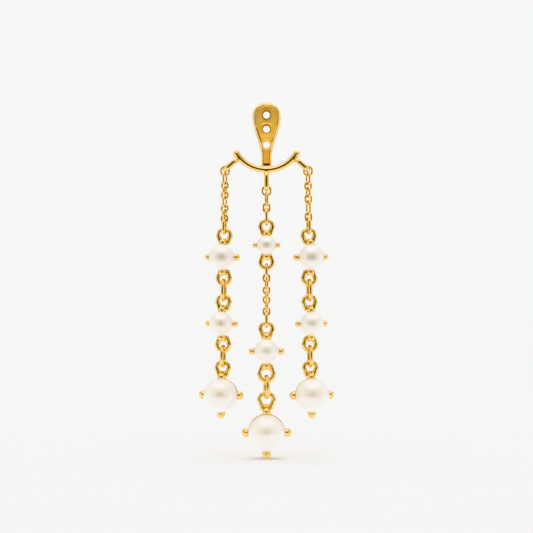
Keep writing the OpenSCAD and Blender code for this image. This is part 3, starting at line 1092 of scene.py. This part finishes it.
    def _holes(self, p: Array, solid: Array) -> Array:
        """Adds the lip and the eyelet round the lower holes, and cuts all three.

        Args:
            p: Points in millimetres.
            solid: Distances to the plate.

        Returns:
            Distances to the plate with its holes.
        """
        s = self.s
        x, y, z = p.T
        floor_y = self.rim_y + s.dish
        eyelet = np.hypot(np.hypot(x, z - s.hole_heights[2]) - s.eyelet_r, y - self.rim_y - s.scoop)
        solid = blend_in(solid, eyelet - s.eyelet_wire / 2, s.fine_fillet)
        lip = np.hypot(np.hypot(x, z - s.hole_heights[1]) - s.lip_r, y - floor_y - s.lip_sunk)
        solid = blend_in(solid, lip - s.lip_wire / 2, s.lip_fillet)
        for height in s.hole_heights:
            wide = s.hole_r + s.hole_ease
            if height > s.hole_heights[2]:
                slope = (floor_y + s.funnel_depth - y) / s.funnel_depth
                wide = s.hole_r + (s.funnel_r - s.hole_r) * np.clip(slope, 0.0, 1.0)
            solid = cut_out(solid, np.hypot(x, z - height) - wide, s.hole_round)
        return solid

    def _bar(self, p: Array) -> Array:
        """Distance to the crescent bar, which ends in two slightly thicker balls.

        Args:
            p: Points in millimetres.

        Returns:
            The distance of each point.
        """
        s = self.s
        x, y, z = p[:, 0], p[:, 1] - HANG_Y, p[:, 2] - s.bar_centre_z
        half = math.asin(s.half_span / s.bar_r)
        angle = np.clip(np.arctan2(x, -z), -half, half)
        dx, dz = x - s.bar_r * np.sin(angle), z + s.bar_r * np.cos(angle)
        bar = np.sqrt(dx**2 + dz**2 + y**2) - s.bar_d / 2
        end_x, end_z = np.abs(x) - s.half_span, z + s.bar_r * math.cos(half)
        ends = np.sqrt(end_x**2 + end_z**2 + y**2) - s.end_d / 2
        return blend_in(bar, ends, s.fine_fillet)

    def _loop(self, p: Array, angle: float, reach: float) -> Array:
        """Distance to a flattened loop that hangs from the bar.

        Args:
            p: Points in millimetres.
            angle: Where on the bar it hangs, in degrees from its middle.
            reach: From the bar's middle line to the middle of the loop's lowest wire.

        Returns:
            The distance of each point.
        """
        s = self.s
        a = math.radians(angle)
        root = s.bar_d / 2
        x, y, z = p[:, 0], p[:, 1] - HANG_Y, p[:, 2] - s.bar_centre_z
        across = x * math.cos(a) + z * math.sin(a)
        down = -x * math.sin(a) + z * math.cos(a) + s.bar_r + root
        radius = (s.loop_w - LOOP_WIRE) / 2
        line = oval_line(y, down, radius, reach - root + LOOP_WIRE - s.loop_w)
        ratio = np.sqrt((line / s.loop_thick) ** 2 + (across / s.loop_across) ** 2)
        wire = (ratio - 1.0) * s.loop_thick
        q = np.stack([across, y, down], 1)
        collar = rod(q, (0, 0, s.collar_above), (0, 0, -s.collar_below), s.collar_top_r, s.collar_low_r)
        return blend_in(wire, collar, s.collar_fillet)

    def distance(self, p: Array) -> Array:
        """Distance to the whole casting.

        Args:
            p: Points in millimetres.

        Returns:
            The distance of each point.
        """
        s = self.s
        plate = self._holes(p, self._plate(p))
        bar = self._bar(p)
        for sign, reach in ((-1, s.side_reach), (0, s.centre_reach), (1, s.side_reach)):
            bar = blend_in(bar, self._loop(p, sign * s.loop_angle, reach), s.loop_fillet)
        return blend_in(plate, bar, s.plate_fillet)

    def build(self, shop: MaterialShop) -> bpy.types.Object:
        """Meshes the casting and puts it on the part.

        Args:
            shop: Where its gold comes from.

        Returns:
            The finished piece.
        """
        low, high = self.s.mesh_box
        vertices, faces = surface_net(self.distance, low, high, self.s.mesh_pitch)
        obj = add_mesh("jacket_frame_gold", vertices, faces, shop.gold(FRAME_GOLD))
        # The satin share, and the share of painted shade that darkens rings and creases
        for name, share in (("satin", self._satin(vertices)), ("painted_shade", self._painted_shade(vertices))):
            attribute = obj.data.attributes.new(name, "FLOAT", "POINT")
            attribute.data.foreach_set("value", share.astype(np.float32))
        return put_on(obj, Slot.GOLD, "jacket_frame")

    def hook(self, side: Side, turn: float, lean: float) -> Hook:
        """Where a strand hangs on its loop.

        Args:
            side: Which strand.
            turn: How far a side strand turns about its own axis, in degrees.
            lean: How far a side strand leans outwards, in degrees.

        Returns:
            The strand's hook.
        """
        s = self.s
        if side is Side.CENTRE:
            return Hook(0.0, s.bar_centre_z - s.bar_r - s.centre_reach, 0.0, 0.0)
        a, sign = math.radians(s.loop_angle), side.value
        reach = s.bar_r + s.side_reach
        x, z = sign * reach * math.sin(a), s.bar_centre_z - reach * math.cos(a)
        return Hook(x, z, -sign * lean, sign * turn)


def put_on(obj: bpy.types.Object, slot: Slot, *nodes: str) -> bpy.types.Object:
    """Lets a finished piece ride on the part.

    Args:
        obj: The piece.
        slot: Its material slot; not used.
        nodes: The CAD nodes that it replaces.

    Returns:
        The same piece.
    """
    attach(obj, "root")
    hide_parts(*nodes)
    return obj


# Settings, chains and jump rings


class PearlSetting:
    """A cup with four balls and one or two rings, cast in one piece."""

    BALL_BACK = 0.25
    PRONG_SHARE = 0.62
    PRONG_TAPER = 0.9
    PRONG_IN_CUP = 0.3
    FOOT_BACK = 0.28
    FOOT_IN = 0.96
    FOOT_FLARE = 0.4
    FOOT_SHARES = (0.3, 0.47)
    END_FOOT_TOP = 0.34
    FLANK_TOP_OUT = 0.03
    FLANK_FOOT = 0.64
    FLANK_FOOT_DOWN = 0.05
    FLANK_BELOW = 0.1
    CORNER_BELOW = 0.2
    CORNER_ROUND = 0.04
    RING_SIDE = (0.5, 0.85)
    RING_SWELL = 0.08
    RING_SHRINK = 0.06
    LOWER_FILL = 0.15
    LOWER_FILLET = 0.08
    COLLAR_EXTRA = 0.2
    COLLAR_WIDENING = 1.02
    COLLAR_AHEAD = 0.06
    COLLAR_IN_RING = 0.02
    CUP_INSIDE = 0.92
    CUP_BACK_AT = 0.86
    CUP_RIM_ROUND = 0.08
    SEAT_ROUND = 0.02
    BALL_FILLET = 0.04
    FILLET = 0.1
    COLLAR_FILLET = 0.16
    MESH_PITCH = 0.07
    MARGIN = 0.25
    WALL_MARGIN = 0.2
    RING_BACK = 0.6
    BALL_MARGIN = 0.3
    LEAST_FRONT = 0.9

    def __init__(self, sizes: SettingSizes) -> None:
        """Takes the setting's sizes."""
        self.s = sizes

    def _prong(self, p: Array, angle: float, size: float, out: float) -> Array:
        """Distance to a ball beside the pearl, with its claw back to the cup and its foot behind.

        Args:
            p: Points in millimetres from the pearl's middle.
            angle: Direction of the ball, in degrees from the top.
            size: The ball's diameter.
            out: How far the ball's middle lies outside the pearl.

        Returns:
            The distance of each point.
        """
        s, a = self.s, math.radians(angle)
        x, y, z = p.T
        q = np.stack([x * math.cos(a) - z * math.sin(a), y, x * math.sin(a) + z * math.cos(a)], 1)
        back, away = self.BALL_BACK * s.pearl_r, s.pearl_r + out
        end_y = s.rim_at * s.pearl_r + self.PRONG_IN_CUP
        wall_r = s.pearl_r + GAPS.pearl + s.wall / 2
        end_z = math.sqrt(wall_r**2 - end_y**2)
        r = self.PRONG_SHARE * size / 2
        claw = rod(q, (0, back, away), (0, end_y, end_z), r, r * self.PRONG_TAPER)
        top_r, foot_r = (share * size for share in self.FOOT_SHARES)
        if angle in (0, 180):
            top_r, foot_r = self.END_FOOT_TOP * size, (size + self.FOOT_FLARE) / 2
        behind = back + self.FOOT_BACK * size
        foot = cone(q, (0, behind, away), (0, behind, s.pearl_r * self.FOOT_IN), top_r, foot_r)
        claw = blend_in(claw, foot, self.FILLET)
        return blend_in(claw, ball(q, (0, back, away), size / 2), self.BALL_FILLET)

    def _bail(self, p: Array, sign: int, distance: float, radius: float, out: float) -> Array:
        """Distance to a ring with straight flanks, and its collar forward to the end ball.

        Args:
            p: Points in millimetres from the pearl's middle.
            sign: 1 for the ring above the pearl, -1 for the one below.
            distance: From the pearl's middle to the ring's middle.
            radius: Of the ring's middle line.
            out: How far the end ball's middle lies outside the pearl.

        Returns:
            The distance of each point.
        """
        s = self.s
        x, y, z = np.abs(p[:, 0]), p[:, 1] - s.ahead, sign * p[:, 2] - distance
        corner = np.array([radius + self.FLANK_TOP_OUT, 0.0])
        foot = np.array([self.FLANK_FOOT * radius, -radius - self.FLANK_FOOT_DOWN])
        way = foot - corner
        t = np.clip(((x - corner[0]) * way[0] + (z - corner[1]) * way[1]) / (way @ way), 0.0, 1.0)
        flank = np.hypot(x - corner[0] - t * way[0], z - corner[1] - t * way[1])
        beyond = ((x - corner[0]) * -way[1] + (z - corner[1]) * way[0]) / math.hypot(*way) - RING_WIRE / 2
        full = risen(x, self.RING_SIDE)
        circle = np.hypot(x, z) - radius
        flank = np.where(z > self.FLANK_BELOW, FAR, flank)
        line = np.minimum(np.abs(circle + self.RING_SHRINK * full), flank)
        ring = np.hypot(line, y) - RING_WIRE / 2 - self.RING_SWELL * full
        filled = np.hypot(circle + self.LOWER_FILL, y) - RING_WIRE / 2
        ring = blend_in(ring, np.where(z < 0.0, filled, FAR), self.LOWER_FILLET)
        ring = np.where(z < self.CORNER_BELOW, keep_both(ring, beyond, self.CORNER_ROUND), ring)
        q = np.stack([p[:, 0], p[:, 1], sign * p[:, 2]], 1)
        collar_r = (self.PRONG_SHARE * s.end_ball + self.COLLAR_EXTRA) / 2
        front = (0, self.BALL_BACK * s.pearl_r, s.pearl_r + out)
        back = (0, s.ahead - self.COLLAR_AHEAD, distance - radius + self.COLLAR_IN_RING)
        collar = rod(q, front, back, collar_r, collar_r * self.COLLAR_WIDENING)
        return blend_in(ring, collar, self.COLLAR_FILLET)

    def distance(self, p: Array) -> Array:
        """Distance to the whole setting.

        Args:
            p: Points in millimetres from the pearl's middle.

        Returns:
            The distance of each point.
        """
        s = self.s
        inner = s.pearl_r + GAPS.pearl
        r = np.linalg.norm(p, axis=1)
        shell = keep_both(r - inner - s.wall, s.rim_at * s.pearl_r - p[:, 1], self.CUP_RIM_ROUND)
        shell = keep_both(shell, p[:, 1] - self.CUP_BACK_AT * s.pearl_r, self.CUP_RIM_ROUND)
        solid = np.maximum(shell, self.CUP_INSIDE * inner - r)
        for angle in (90, 270):
            solid = blend_in(solid, self._prong(p, angle, s.side_ball, s.side_out), self.FILLET)
        for angle, out in ((0, s.up_out), (180, s.down_out)):
            solid = blend_in(solid, self._prong(p, angle, s.end_ball, out), self.FILLET)
        solid = blend_in(solid, self._bail(p, 1, s.up, s.up_r, s.up_out), self.FILLET)
        if s.down:
            solid = blend_in(solid, self._bail(p, -1, s.down, s.down_r, s.down_out), self.FILLET)
        return cut_out(solid, r - inner, self.SEAT_ROUND)

    def mesh(self) -> tuple[Array, Array]:
        """Meshes the setting round the pearl's middle.

        Returns:
            Vertices in millimetres and quads as vertex numbers.
        """
        s = self.s
        wide = s.pearl_r + max(s.side_out + s.side_ball / 2, s.wall + self.WALL_MARGIN) + self.MARGIN
        up = s.up + s.up_r + RING_WIRE / 2 + self.MARGIN
        ball_below = s.pearl_r + s.down_out + s.end_ball / 2
        below = s.down + s.down_r + RING_WIRE / 2 if s.down else ball_below
        back = max(s.pearl_r + s.wall, s.ahead + self.RING_BACK) + self.WALL_MARGIN
        front = -max(self.LEAST_FRONT, s.end_ball / 2 + self.BALL_MARGIN - self.BALL_BACK * s.pearl_r)
        low, high = (-wide, front, -below - self.MARGIN), (wide, back, up)
        return surface_net(self.distance, low, high, self.MESH_PITCH)


@dataclass(frozen=True)
class Strand:
    """One hanging strand: its hooks, chains, jump rings and settings, from the top."""

    side: Side
    hook: Hook
    low_hook: Hook
    upper_chain: Sequence[Oval]
    jumps: Sequence[Oval]
    rows: Sequence[SettingSizes]
    lower_chain: Sequence[Oval] = ()


class StrandBuilder:
    """Builds the strands' pieces, working down from each hook."""

    EDGE_TURN = 16.0
    JUMP_TURN = 8.5
    JUMP_BACK = 4.0
    PATH_POINTS = 72
    CHAIN_SIDES = 18
    JUMP_SIDES = 32
    PEARL_SUBDIVISIONS = 6

    def __init__(self, shop: MaterialShop) -> None:
        """Makes the trees that the strands share.

        Args:
            shop: Where the materials come from.
        """
        self.shop = shop
        self.ovals = wire_oval_tree()
        self.balls = pearl_tree()
        self.castings: dict[SettingSizes, tuple[Array, Array]] = {}

    def _ovals(self, name: str, hook: Hook, rows: Sequence[tuple[float, Oval, float]], sides: int) -> None:
        """Makes one piece of wire ovals.

        Args:
            name: The CAD node that it stands for.
            hook: The strand's hook.
            rows: Each oval's top height, sizes and turn from facing the front, in degrees.
            sides: Faces round the wire.
        """
        points = np.array([[0.0, 0.0, top] for top, _, _ in rows]) * MM
        attributes = {
            "oval_length": [row.length * MM for _, row, _ in rows],
            "oval_width": [row.width * MM for _, row, _ in rows],
            "oval_wire": [row.wire * MM for _, row, _ in rows],
            "oval_turn": [math.radians(turn) for _, _, turn in rows],
        }
        material = self.shop.gold(WIRE_GOLD)
        settings = {"Path Points": self.PATH_POINTS, "Wire Sides": sides, "Material": material}
        mesh = grown(name + "_gold", points, attributes, self.ovals, settings)
        self._finish(mesh, hook, Slot.GOLD, name)

    def _finish(self, mesh: bpy.types.Mesh, hook: Hook, slot: Slot, node: str) -> None:
        """Moves a mesh below its hook and puts it on the part.

        Args:
            mesh: The mesh, as given from the hook.
            hook: The strand's hook.
            slot: Its material slot.
            node: The CAD node that it replaces.
        """
        co = np.zeros(len(mesh.vertices) * 3)
        mesh.vertices.foreach_get("co", co)
        mesh.vertices.foreach_set("co", (hook.place(co.reshape(-1, 3) / MM) * MM).ravel())
        mesh.update()
        put_on(shown(mesh.name, mesh), slot, node)

    def chain(
        self,
        name: str,
        hook: Hook,
        links: Sequence[Oval],
        above: tuple[float, float],
        gap: float,
        side: Side = Side.CENTRE,
        first_on_edge: bool = False,
    ) -> float:
        """Hangs a chain, its links drawn in thicker wire at their own places.

        Args:
            name: The CAD node that it stands for.
            hook: The strand's hook.
            links: Sizes of the links from the top.
            above: Height and thickness of the wire that it hangs on.
            gap: Clearance to that wire.
            side: Which strand, which says how the links on edge turn.
            first_on_edge: Whether the first link is seen on edge.

        Returns:
            The height of its last wire.
        """
        rows, z, wire = [], *above
        gain = (GAPS.link - SEEN_GAP) / 2
        for i, row in enumerate(links):
            top = hung_from(z, wire, row.wire, GAPS.link if i else gap)
            further = self.EDGE_TURN if row.wire == LINK_WIRE else 0.0
            turn = 90.0 + (side.value or 1) * further if (i + first_on_edge) % 2 else 0.0
            seen = row.closed_up(SEEN_WIRE[row.wire], gain)
            rows.append((top + (seen.wire - row.wire) / 2 - gain, seen, turn))
            z, wire = top - row.drop, row.wire
        self._ovals(name, hook, rows, self.CHAIN_SIDES)
        return z

    def setting(self, node: str, hook: Hook, row: SettingSizes, above: tuple[float, float]) -> float:
        """Hangs a setting with its pearl.

        Args:
            node: The end of its CAD nodes' names.
            hook: The strand's hook.
            row: The setting's sizes.
            above: Height and thickness of the wire that it hangs on.

        Returns:
            The height of its lowest ring's wire.
        """
        z = hung_from(*above, RING_WIRE, GAPS.piece) - row.up_r - row.up
        if row not in self.castings:
            self.castings[row] = PearlSetting(row).mesh()
        vertices, faces = self.castings[row]
        middle = np.array([0.0, -row.ahead, z])
        gold = self.shop.gold(CAST_GOLD)
        obj = add_mesh(f"setting_{node}_gold", hook.place(vertices + middle), faces, gold)
        put_on(obj, Slot.GOLD, f"setting_{node}")
        nacre = self.shop.pearl(WHITE_PEARL)
        settings = {"Diameter": row.pearl_d * MM, "Subdivisions": self.PEARL_SUBDIVISIONS, "Material": nacre}
        mesh = grown(f"pearl_{node}_nacre", middle[None, :] * MM, {}, self.balls, settings)
        self._finish(mesh, hook, Slot.PEARL, f"pearl_{node}")
        return z - row.down - row.down_r

    def jump(self, node: str, hook: Hook, row: Oval, above: tuple[float, float], side: Side) -> float:
        """Hangs a jump ring, seen a little off its edge.

        Args:
            node: The CAD node that it stands for.
            hook: The strand's hook.
            row: The ring's sizes.
            above: Height and thickness of the wire that it hangs on.
            side: Which strand.

        Returns:
            The height of its bottom wire.
        """
        top = hung_from(*above, row.wire, GAPS.piece)
        turn = self.JUMP_TURN if side is Side.CENTRE else -self.JUMP_BACK * side.value
        self._ovals(node, hook, [(top, row, 90.0 + turn)], self.JUMP_SIDES)
        return top - row.drop

    def side_strand(self, strand: Strand) -> None:
        """Builds a side strand: a chain, then three settings with a jump ring between each two.

        Args:
            strand: Its sizes and hooks.
        """
        side, hook, jumps, rows = strand.side, strand.hook, strand.jumps, strand.rows
        name = side.name.lower()
        z = self.chain(f"chain_{name}", hook, strand.upper_chain, (0.0, LOOP_WIRE), GAPS.link, side)
        z = self.setting(f"{name}_upper", hook, rows[0], (z, JOINER_WIRE))
        z = self.jump(f"jump_ring_{name}_upper", hook, jumps[0], (z, RING_WIRE), side)
        z = self.setting(f"{name}_middle", hook, rows[1], (z, jumps[0].wire))
        z = self.jump(f"jump_ring_{name}_lower", hook, jumps[1], (z, RING_WIRE), side)
        self.setting(f"{name}_lower", strand.low_hook, rows[2], (z, jumps[1].wire))
        LOG.info("%s strand built", name)

    def centre_strand(self, strand: Strand) -> None:
        """Builds the centre strand: two chains, each with a setting below, a jump ring and the last setting.

        Args:
            strand: Its sizes and hooks.
        """
        hook, rows = strand.hook, strand.rows
        z = self.chain("chain_centre_upper", hook, strand.upper_chain, (0.0, LOOP_WIRE), GAPS.link)
        z = self.setting("centre_upper", hook, rows[0], (z, JOINER_WIRE))
        above = (z, RING_WIRE)
        z = self.chain("chain_centre_lower", hook, strand.lower_chain, above, GAPS.piece, first_on_edge=True)
        z = self.setting("centre_middle", hook, rows[1], (z, JOINER_WIRE))
        z = self.jump("jump_ring_centre", hook, strand.jumps[0], (z, RING_WIRE), strand.side)
        self.setting("centre_lower", strand.low_hook, rows[2], (z, strand.jumps[0].wire))
        LOG.info("centre strand built")


# The studio


@dataclass(frozen=True)
class Patch:
    """A soft dark patch of the surround, by its half sizes and height as tangents seen from the part."""

    wide: float
    high: float
    up: float
    depth: float


@dataclass(frozen=True)
class Band:
    """A bright or dark band of the surround, over a range of a direction's X, Y or Z."""

    starts: float
    ends: float
    gain: float


@dataclass(frozen=True)
class Lamp:
    """A rectangular soft lamp, in metres and watts."""

    name: str
    place: tuple[float, float, float]
    size: tuple[float, float]
    power: float


@dataclass(frozen=True)
class StudioSizes:
    """Camera, floor, wall and lights, in metres."""

    camera: tuple[float, float, float] = (0.0, -0.237, -0.02198)
    lens: float = 100.0
    sensor: float = 36.0
    clip: float = 0.005
    lamp_target: tuple[float, float, float] = (0.0, 0.0, -0.025)
    lamps: tuple[Lamp, ...] = (
        Lamp("key_lamp", (0.0, -0.06, 0.33), (0.10, 0.06), 0.07),
        Lamp("back_lamp", (0.0, 0.16, 0.28), (0.09, 0.05), 0.27),
    )
    round_steps: int = 96
    floor_z: float = -0.05245
    floor_r: float = 0.2
    floor_fade: tuple[float, float] = (0.1, 0.185)
    floor_grey: float = 0.65
    floor_mottle: tuple[float, float] = (30.0, 0.003)
    floor_glow_tone: Tone = (0.97, 0.995, 1.04)
    floor_glow: float = 0.06
    # In reflections only: a painted glow below and behind the part, and painted shade in front of it
    painted_floor_glow: float = 0.75
    painted_floor_shade: float = 0.6
    unseen_floor_rise: tuple[float, float] = (-0.06, -0.016)
    wall_r: float = 0.35
    wall_half_height: float = 0.4
    wall_grey: float = 0.62
    wall_mottle: tuple[float, float] = (12.0, 0.002)
    wall_glow_tone: Tone = (0.972, 0.985, 0.992)
    wall_glow: float = 0.82
    surround_level: float = 0.92
    patches: tuple[Patch, ...] = (
        Patch(1.5, 1.1, 0.0, 0.22),
        Patch(0.46, 0.5, 0.0, 0.52),
        Patch(0.22, 0.22, 0.08, 0.15),
    )
    behind: Band = Band(0.35, 0.75, -0.47)
    overhead: Band = Band(0.72, 0.9, 2.9)
    sides: Band = Band(0.85, 0.95, 0.45)
    least_depth: float = 0.02
    least_level: float = 0.02
    warm_below: tuple[float, float] = (0.1, 0.75)
    warm_tone: Tone = (1.0, 0.58, 0.16)
    white_tone: Tone = (1.0, 0.998, 0.995)
    seen_tone: Tone = (1.3, 1.295, 1.25)


class Studio:
    """A pale floor and wall, two soft lamps and a bright surround with a dark patch at the camera."""

    def __init__(self, sizes: StudioSizes) -> None:
        """Works out one turn of the round floor and wall.

        Args:
            sizes: The studio's sizes.
        """
        self.s = sizes
        angles = np.linspace(0.0, 2 * math.pi, sizes.round_steps + 1)[:-1]
        self.turn = [(math.cos(a), math.sin(a)) for a in angles]

    def camera(self) -> None:
        """Places the camera level with the middle of the part."""
        data = bpy.data.cameras.new("camera")
        data.lens = self.s.lens
        data.sensor_width = self.s.sensor
        data.clip_start = self.s.clip
        obj = shown("camera", data)
        obj.location = self.s.camera
        obj.rotation_euler = (math.radians(90.0), 0.0, 0.0)
        bpy.context.scene.camera = obj

    def _staged(
        self,
        name: str,
        corners: Sequence[Sequence[float]],
        faces: Sequence[Sequence[int]],
        material: bpy.types.Material,
    ) -> bpy.types.Object:
        """Makes a smooth stage object.

        Args:
            name: Name of the object.
            corners: Places in metres.
            faces: Faces as corner numbers.
            material: Its material.

        Returns:
            The object.
        """
        mesh = bpy.data.meshes.new(name)
        mesh.from_pydata(corners, [], faces)
        mesh.polygons.foreach_set("use_smooth", np.ones(len(faces), bool))
        mesh.materials.append(material)
        obj = shown(name, mesh)
        return obj

    def _mottled(self, n: Nodes, grey: float, mottle: tuple[float, float]) -> bpy.types.NodeSocket:
        """A grey that varies very slightly from place to place.

        Args:
            n: The material's node writer.
            grey: Its mean.
            mottle: The noise's scale, and how far the grey goes to each side.

        Returns:
            The grey.
        """
        scale, spread = mottle
        noise = n.add("ShaderNodeTexNoise", Vector=n.place(), Scale=scale).outputs["Fac"]
        return n.remap(noise, (0.0, 1.0), (grey - spread, grey + spread))

    def floor(self) -> None:
        """A round white floor that fades out; in reflections it has a painted glow right below and behind the
        part, and painted shade in front of it.
        """
        s = self.s
        material, n, shader = new_material("studio_white")
        place = n.place()
        grey = self._mottled(n, s.floor_grey, s.floor_mottle)
        reach = n.add("ShaderNodeVectorMath", operation="LENGTH", _0=place)
        n.link(n.remap(reach.outputs["Value"], s.floor_fade, (1.0, 0.0), smooth=True), shader["Alpha"])
        # Painted light for reflections: the floor glows below and behind the part and is darker in front; the
        # camera sees it plain
        seen = n.add("ShaderNodeLightPath").outputs["Is Camera Ray"]
        along = n.add("ShaderNodeSeparateXYZ", Vector=place).outputs["Y"]
        near = n.remap(along, s.unseen_floor_rise, smooth=True)
        painted_glow = n.maths("MULTIPLY", near, s.painted_floor_glow)
        glow = n.add("ShaderNodeMix", data_type="FLOAT", _0=seen, _2=painted_glow, _3=s.floor_glow)
        n.link(glow.outputs[0], shader["Emission Strength"])
        shade = n.remap(n.maths("MAXIMUM", seen, near), (0.0, 1.0), (s.painted_floor_shade, 1.0))
        n.link(n.maths("MULTIPLY", grey, shade), shader["Base Color"])
        shader["Emission Color"].default_value = (*s.floor_glow_tone, 1.0)
        shader["Roughness"].default_value = 0.9
        shader["Specular IOR Level"].default_value = 0.1
        corners = [(s.floor_r * x, s.floor_r * y, s.floor_z) for x, y in self.turn]
        self._staged("floor", corners, [tuple(range(s.round_steps))], material)

    def wall(self) -> None:
        """A plain pale wall all round, which only the camera sees."""
        s = self.s
        material, n, shader = new_material("wall_white")
        n.link(self._mottled(n, s.wall_grey, s.wall_mottle), shader["Base Color"])
        shader["Roughness"].default_value = 1.0
        shader["Specular IOR Level"].default_value = 0.0
        shader["Emission Color"].default_value = (*s.wall_glow_tone, 1.0)
        shader["Emission Strength"].default_value = s.wall_glow
        heights = (-s.wall_half_height, s.wall_half_height)
        corners = [(s.wall_r * x, s.wall_r * y, z) for z in heights for x, y in self.turn]
        count = s.round_steps
        faces = [((i + 1) % count, i, count + i, count + (i + 1) % count) for i in range(count)]
        wall = self._staged("wall", corners, faces, material)
        for kind in ("diffuse", "glossy", "transmission", "volume_scatter", "shadow"):
            setattr(wall, "visible_" + kind, False)

    def lamp(self, lamp: Lamp) -> None:
        """Hangs a soft lamp that faces the part.

        Args:
            lamp: Its place, size and power.
        """
        data = bpy.data.lights.new(lamp.name, "AREA")
        data.shape = "RECTANGLE"
        data.size, data.size_y = lamp.size
        data.energy = lamp.power
        obj = shown(lamp.name, data)
        obj.location = lamp.place
        way = Vector(self.s.lamp_target) - Vector(lamp.place)
        obj.rotation_euler = way.to_track_quat("-Z", "Y").to_euler()

    def surround(self) -> None:
        """A pale surround: plain where it is seen, and with soft panels and dark patches in reflections."""
        s = self.s
        world = bpy.data.worlds.new("surround")
        world.use_nodes = True
        bpy.context.scene.world = world
        world.node_tree.nodes.clear()
        n = Nodes(world.node_tree)
        way = n.add("ShaderNodeSeparateXYZ", Vector=n.add("ShaderNodeTexCoord").outputs["Generated"])
        x, y, z = way.outputs["X"], way.outputs["Y"], way.outputs["Z"]
        depth = n.maths("MAXIMUM", n.maths("MULTIPLY", y, -1.0), s.least_depth)
        u, v = n.maths("DIVIDE", x, depth), n.maths("DIVIDE", z, depth)

        def squared(value: bpy.types.NodeSocket, half: float) -> bpy.types.NodeSocket:
            """Square of a value over its half size."""
            return n.maths("POWER", n.maths("ABSOLUTE", n.maths("DIVIDE", value, half)), 2.0)

        def patch(row: Patch) -> bpy.types.NodeSocket:
            """Darkens the surround softly.

            Args:
                row: The patch's place, size and depth.

            Returns:
                How deep it is in each direction.
            """
            spread = n.maths("ADD", squared(u, row.wide), squared(n.maths("SUBTRACT", v, row.up), row.high))
            share = n.maths("DIVIDE", 1.0, n.maths("ADD", 1.0, n.maths("MULTIPLY", spread, spread)))
            return n.maths("MULTIPLY", share, row.depth)

        level: object = s.surround_level
        for row in s.patches:
            level = n.maths("SUBTRACT", level, patch(row))
        for value, band in ((y, s.behind), (z, s.overhead), (n.maths("ABSOLUTE", x), s.sides)):
            share = n.remap(value, (band.starts, band.ends), smooth=True)
            level = n.maths("ADD", level, n.maths("MULTIPLY", share, band.gain))
        tone = n.mix(n.remap(level, s.warm_below, smooth=True), s.warm_tone, s.white_tone)
        level = n.maths("MAXIMUM", level, s.least_level)
        reflected = n.add("ShaderNodeBackground", Color=tone, Strength=level)
        plain_glow = n.add("ShaderNodeBackground", Color=(*s.seen_tone, 1.0))
        seen = n.add("ShaderNodeLightPath").outputs["Is Camera Ray"]
        both = (reflected.outputs["Background"], plain_glow.outputs["Background"])
        chosen = n.add("ShaderNodeMixShader", _0=seen, _1=both[0], _2=both[1])
        n.link(chosen.outputs["Shader"], n.add("ShaderNodeOutputWorld").inputs["Surface"])

    def build(self) -> None:
        """Sets up the whole studio."""
        self.camera()
        self.floor()
        self.wall()
        self.surround()
        for lamp in self.s.lamps:
            self.lamp(lamp)
        bpy.context.scene.view_settings.view_transform = "Khronos PBR Neutral"


def main() -> None:
    """Builds the part's looks and the studio."""
    logging.basicConfig(level=logging.INFO, format="%(name)s: %(message)s")
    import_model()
    shop = MaterialShop()
    casting = JacketFrame(FrameSizes())
    casting.build(shop)
    LOG.info("frame built")
    builder = StrandBuilder(shop)
    rows = (SIDE_UPPER, SIDE_MIDDLE, SIDE_LOWER)
    for side, links in ((Side.LEFT, LEFT_LINKS), (Side.RIGHT, RIGHT_LINKS)):
        hook, low_hook = (casting.hook(side, turn, SIDE_LEAN) for turn in (UPPER_TURN, LOWER_TURN))
        builder.side_strand(Strand(side, hook, low_hook, links, SIDE_JUMPS, rows))
    hook = casting.hook(Side.CENTRE, 0.0, 0.0)
    rows = (CENTRE_UPPER, CENTRE_MIDDLE, CENTRE_LOWER)
    links = (CENTRE_UPPER_LINKS, CENTRE_LOWER_LINKS)
    builder.centre_strand(Strand(Side.CENTRE, hook, hook, links[0], (CENTRE_JUMP,), rows, links[1]))
    Studio(StudioSizes()).build()
    LOG.info("studio built")
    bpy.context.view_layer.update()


if __name__ == "__main__":
    main()
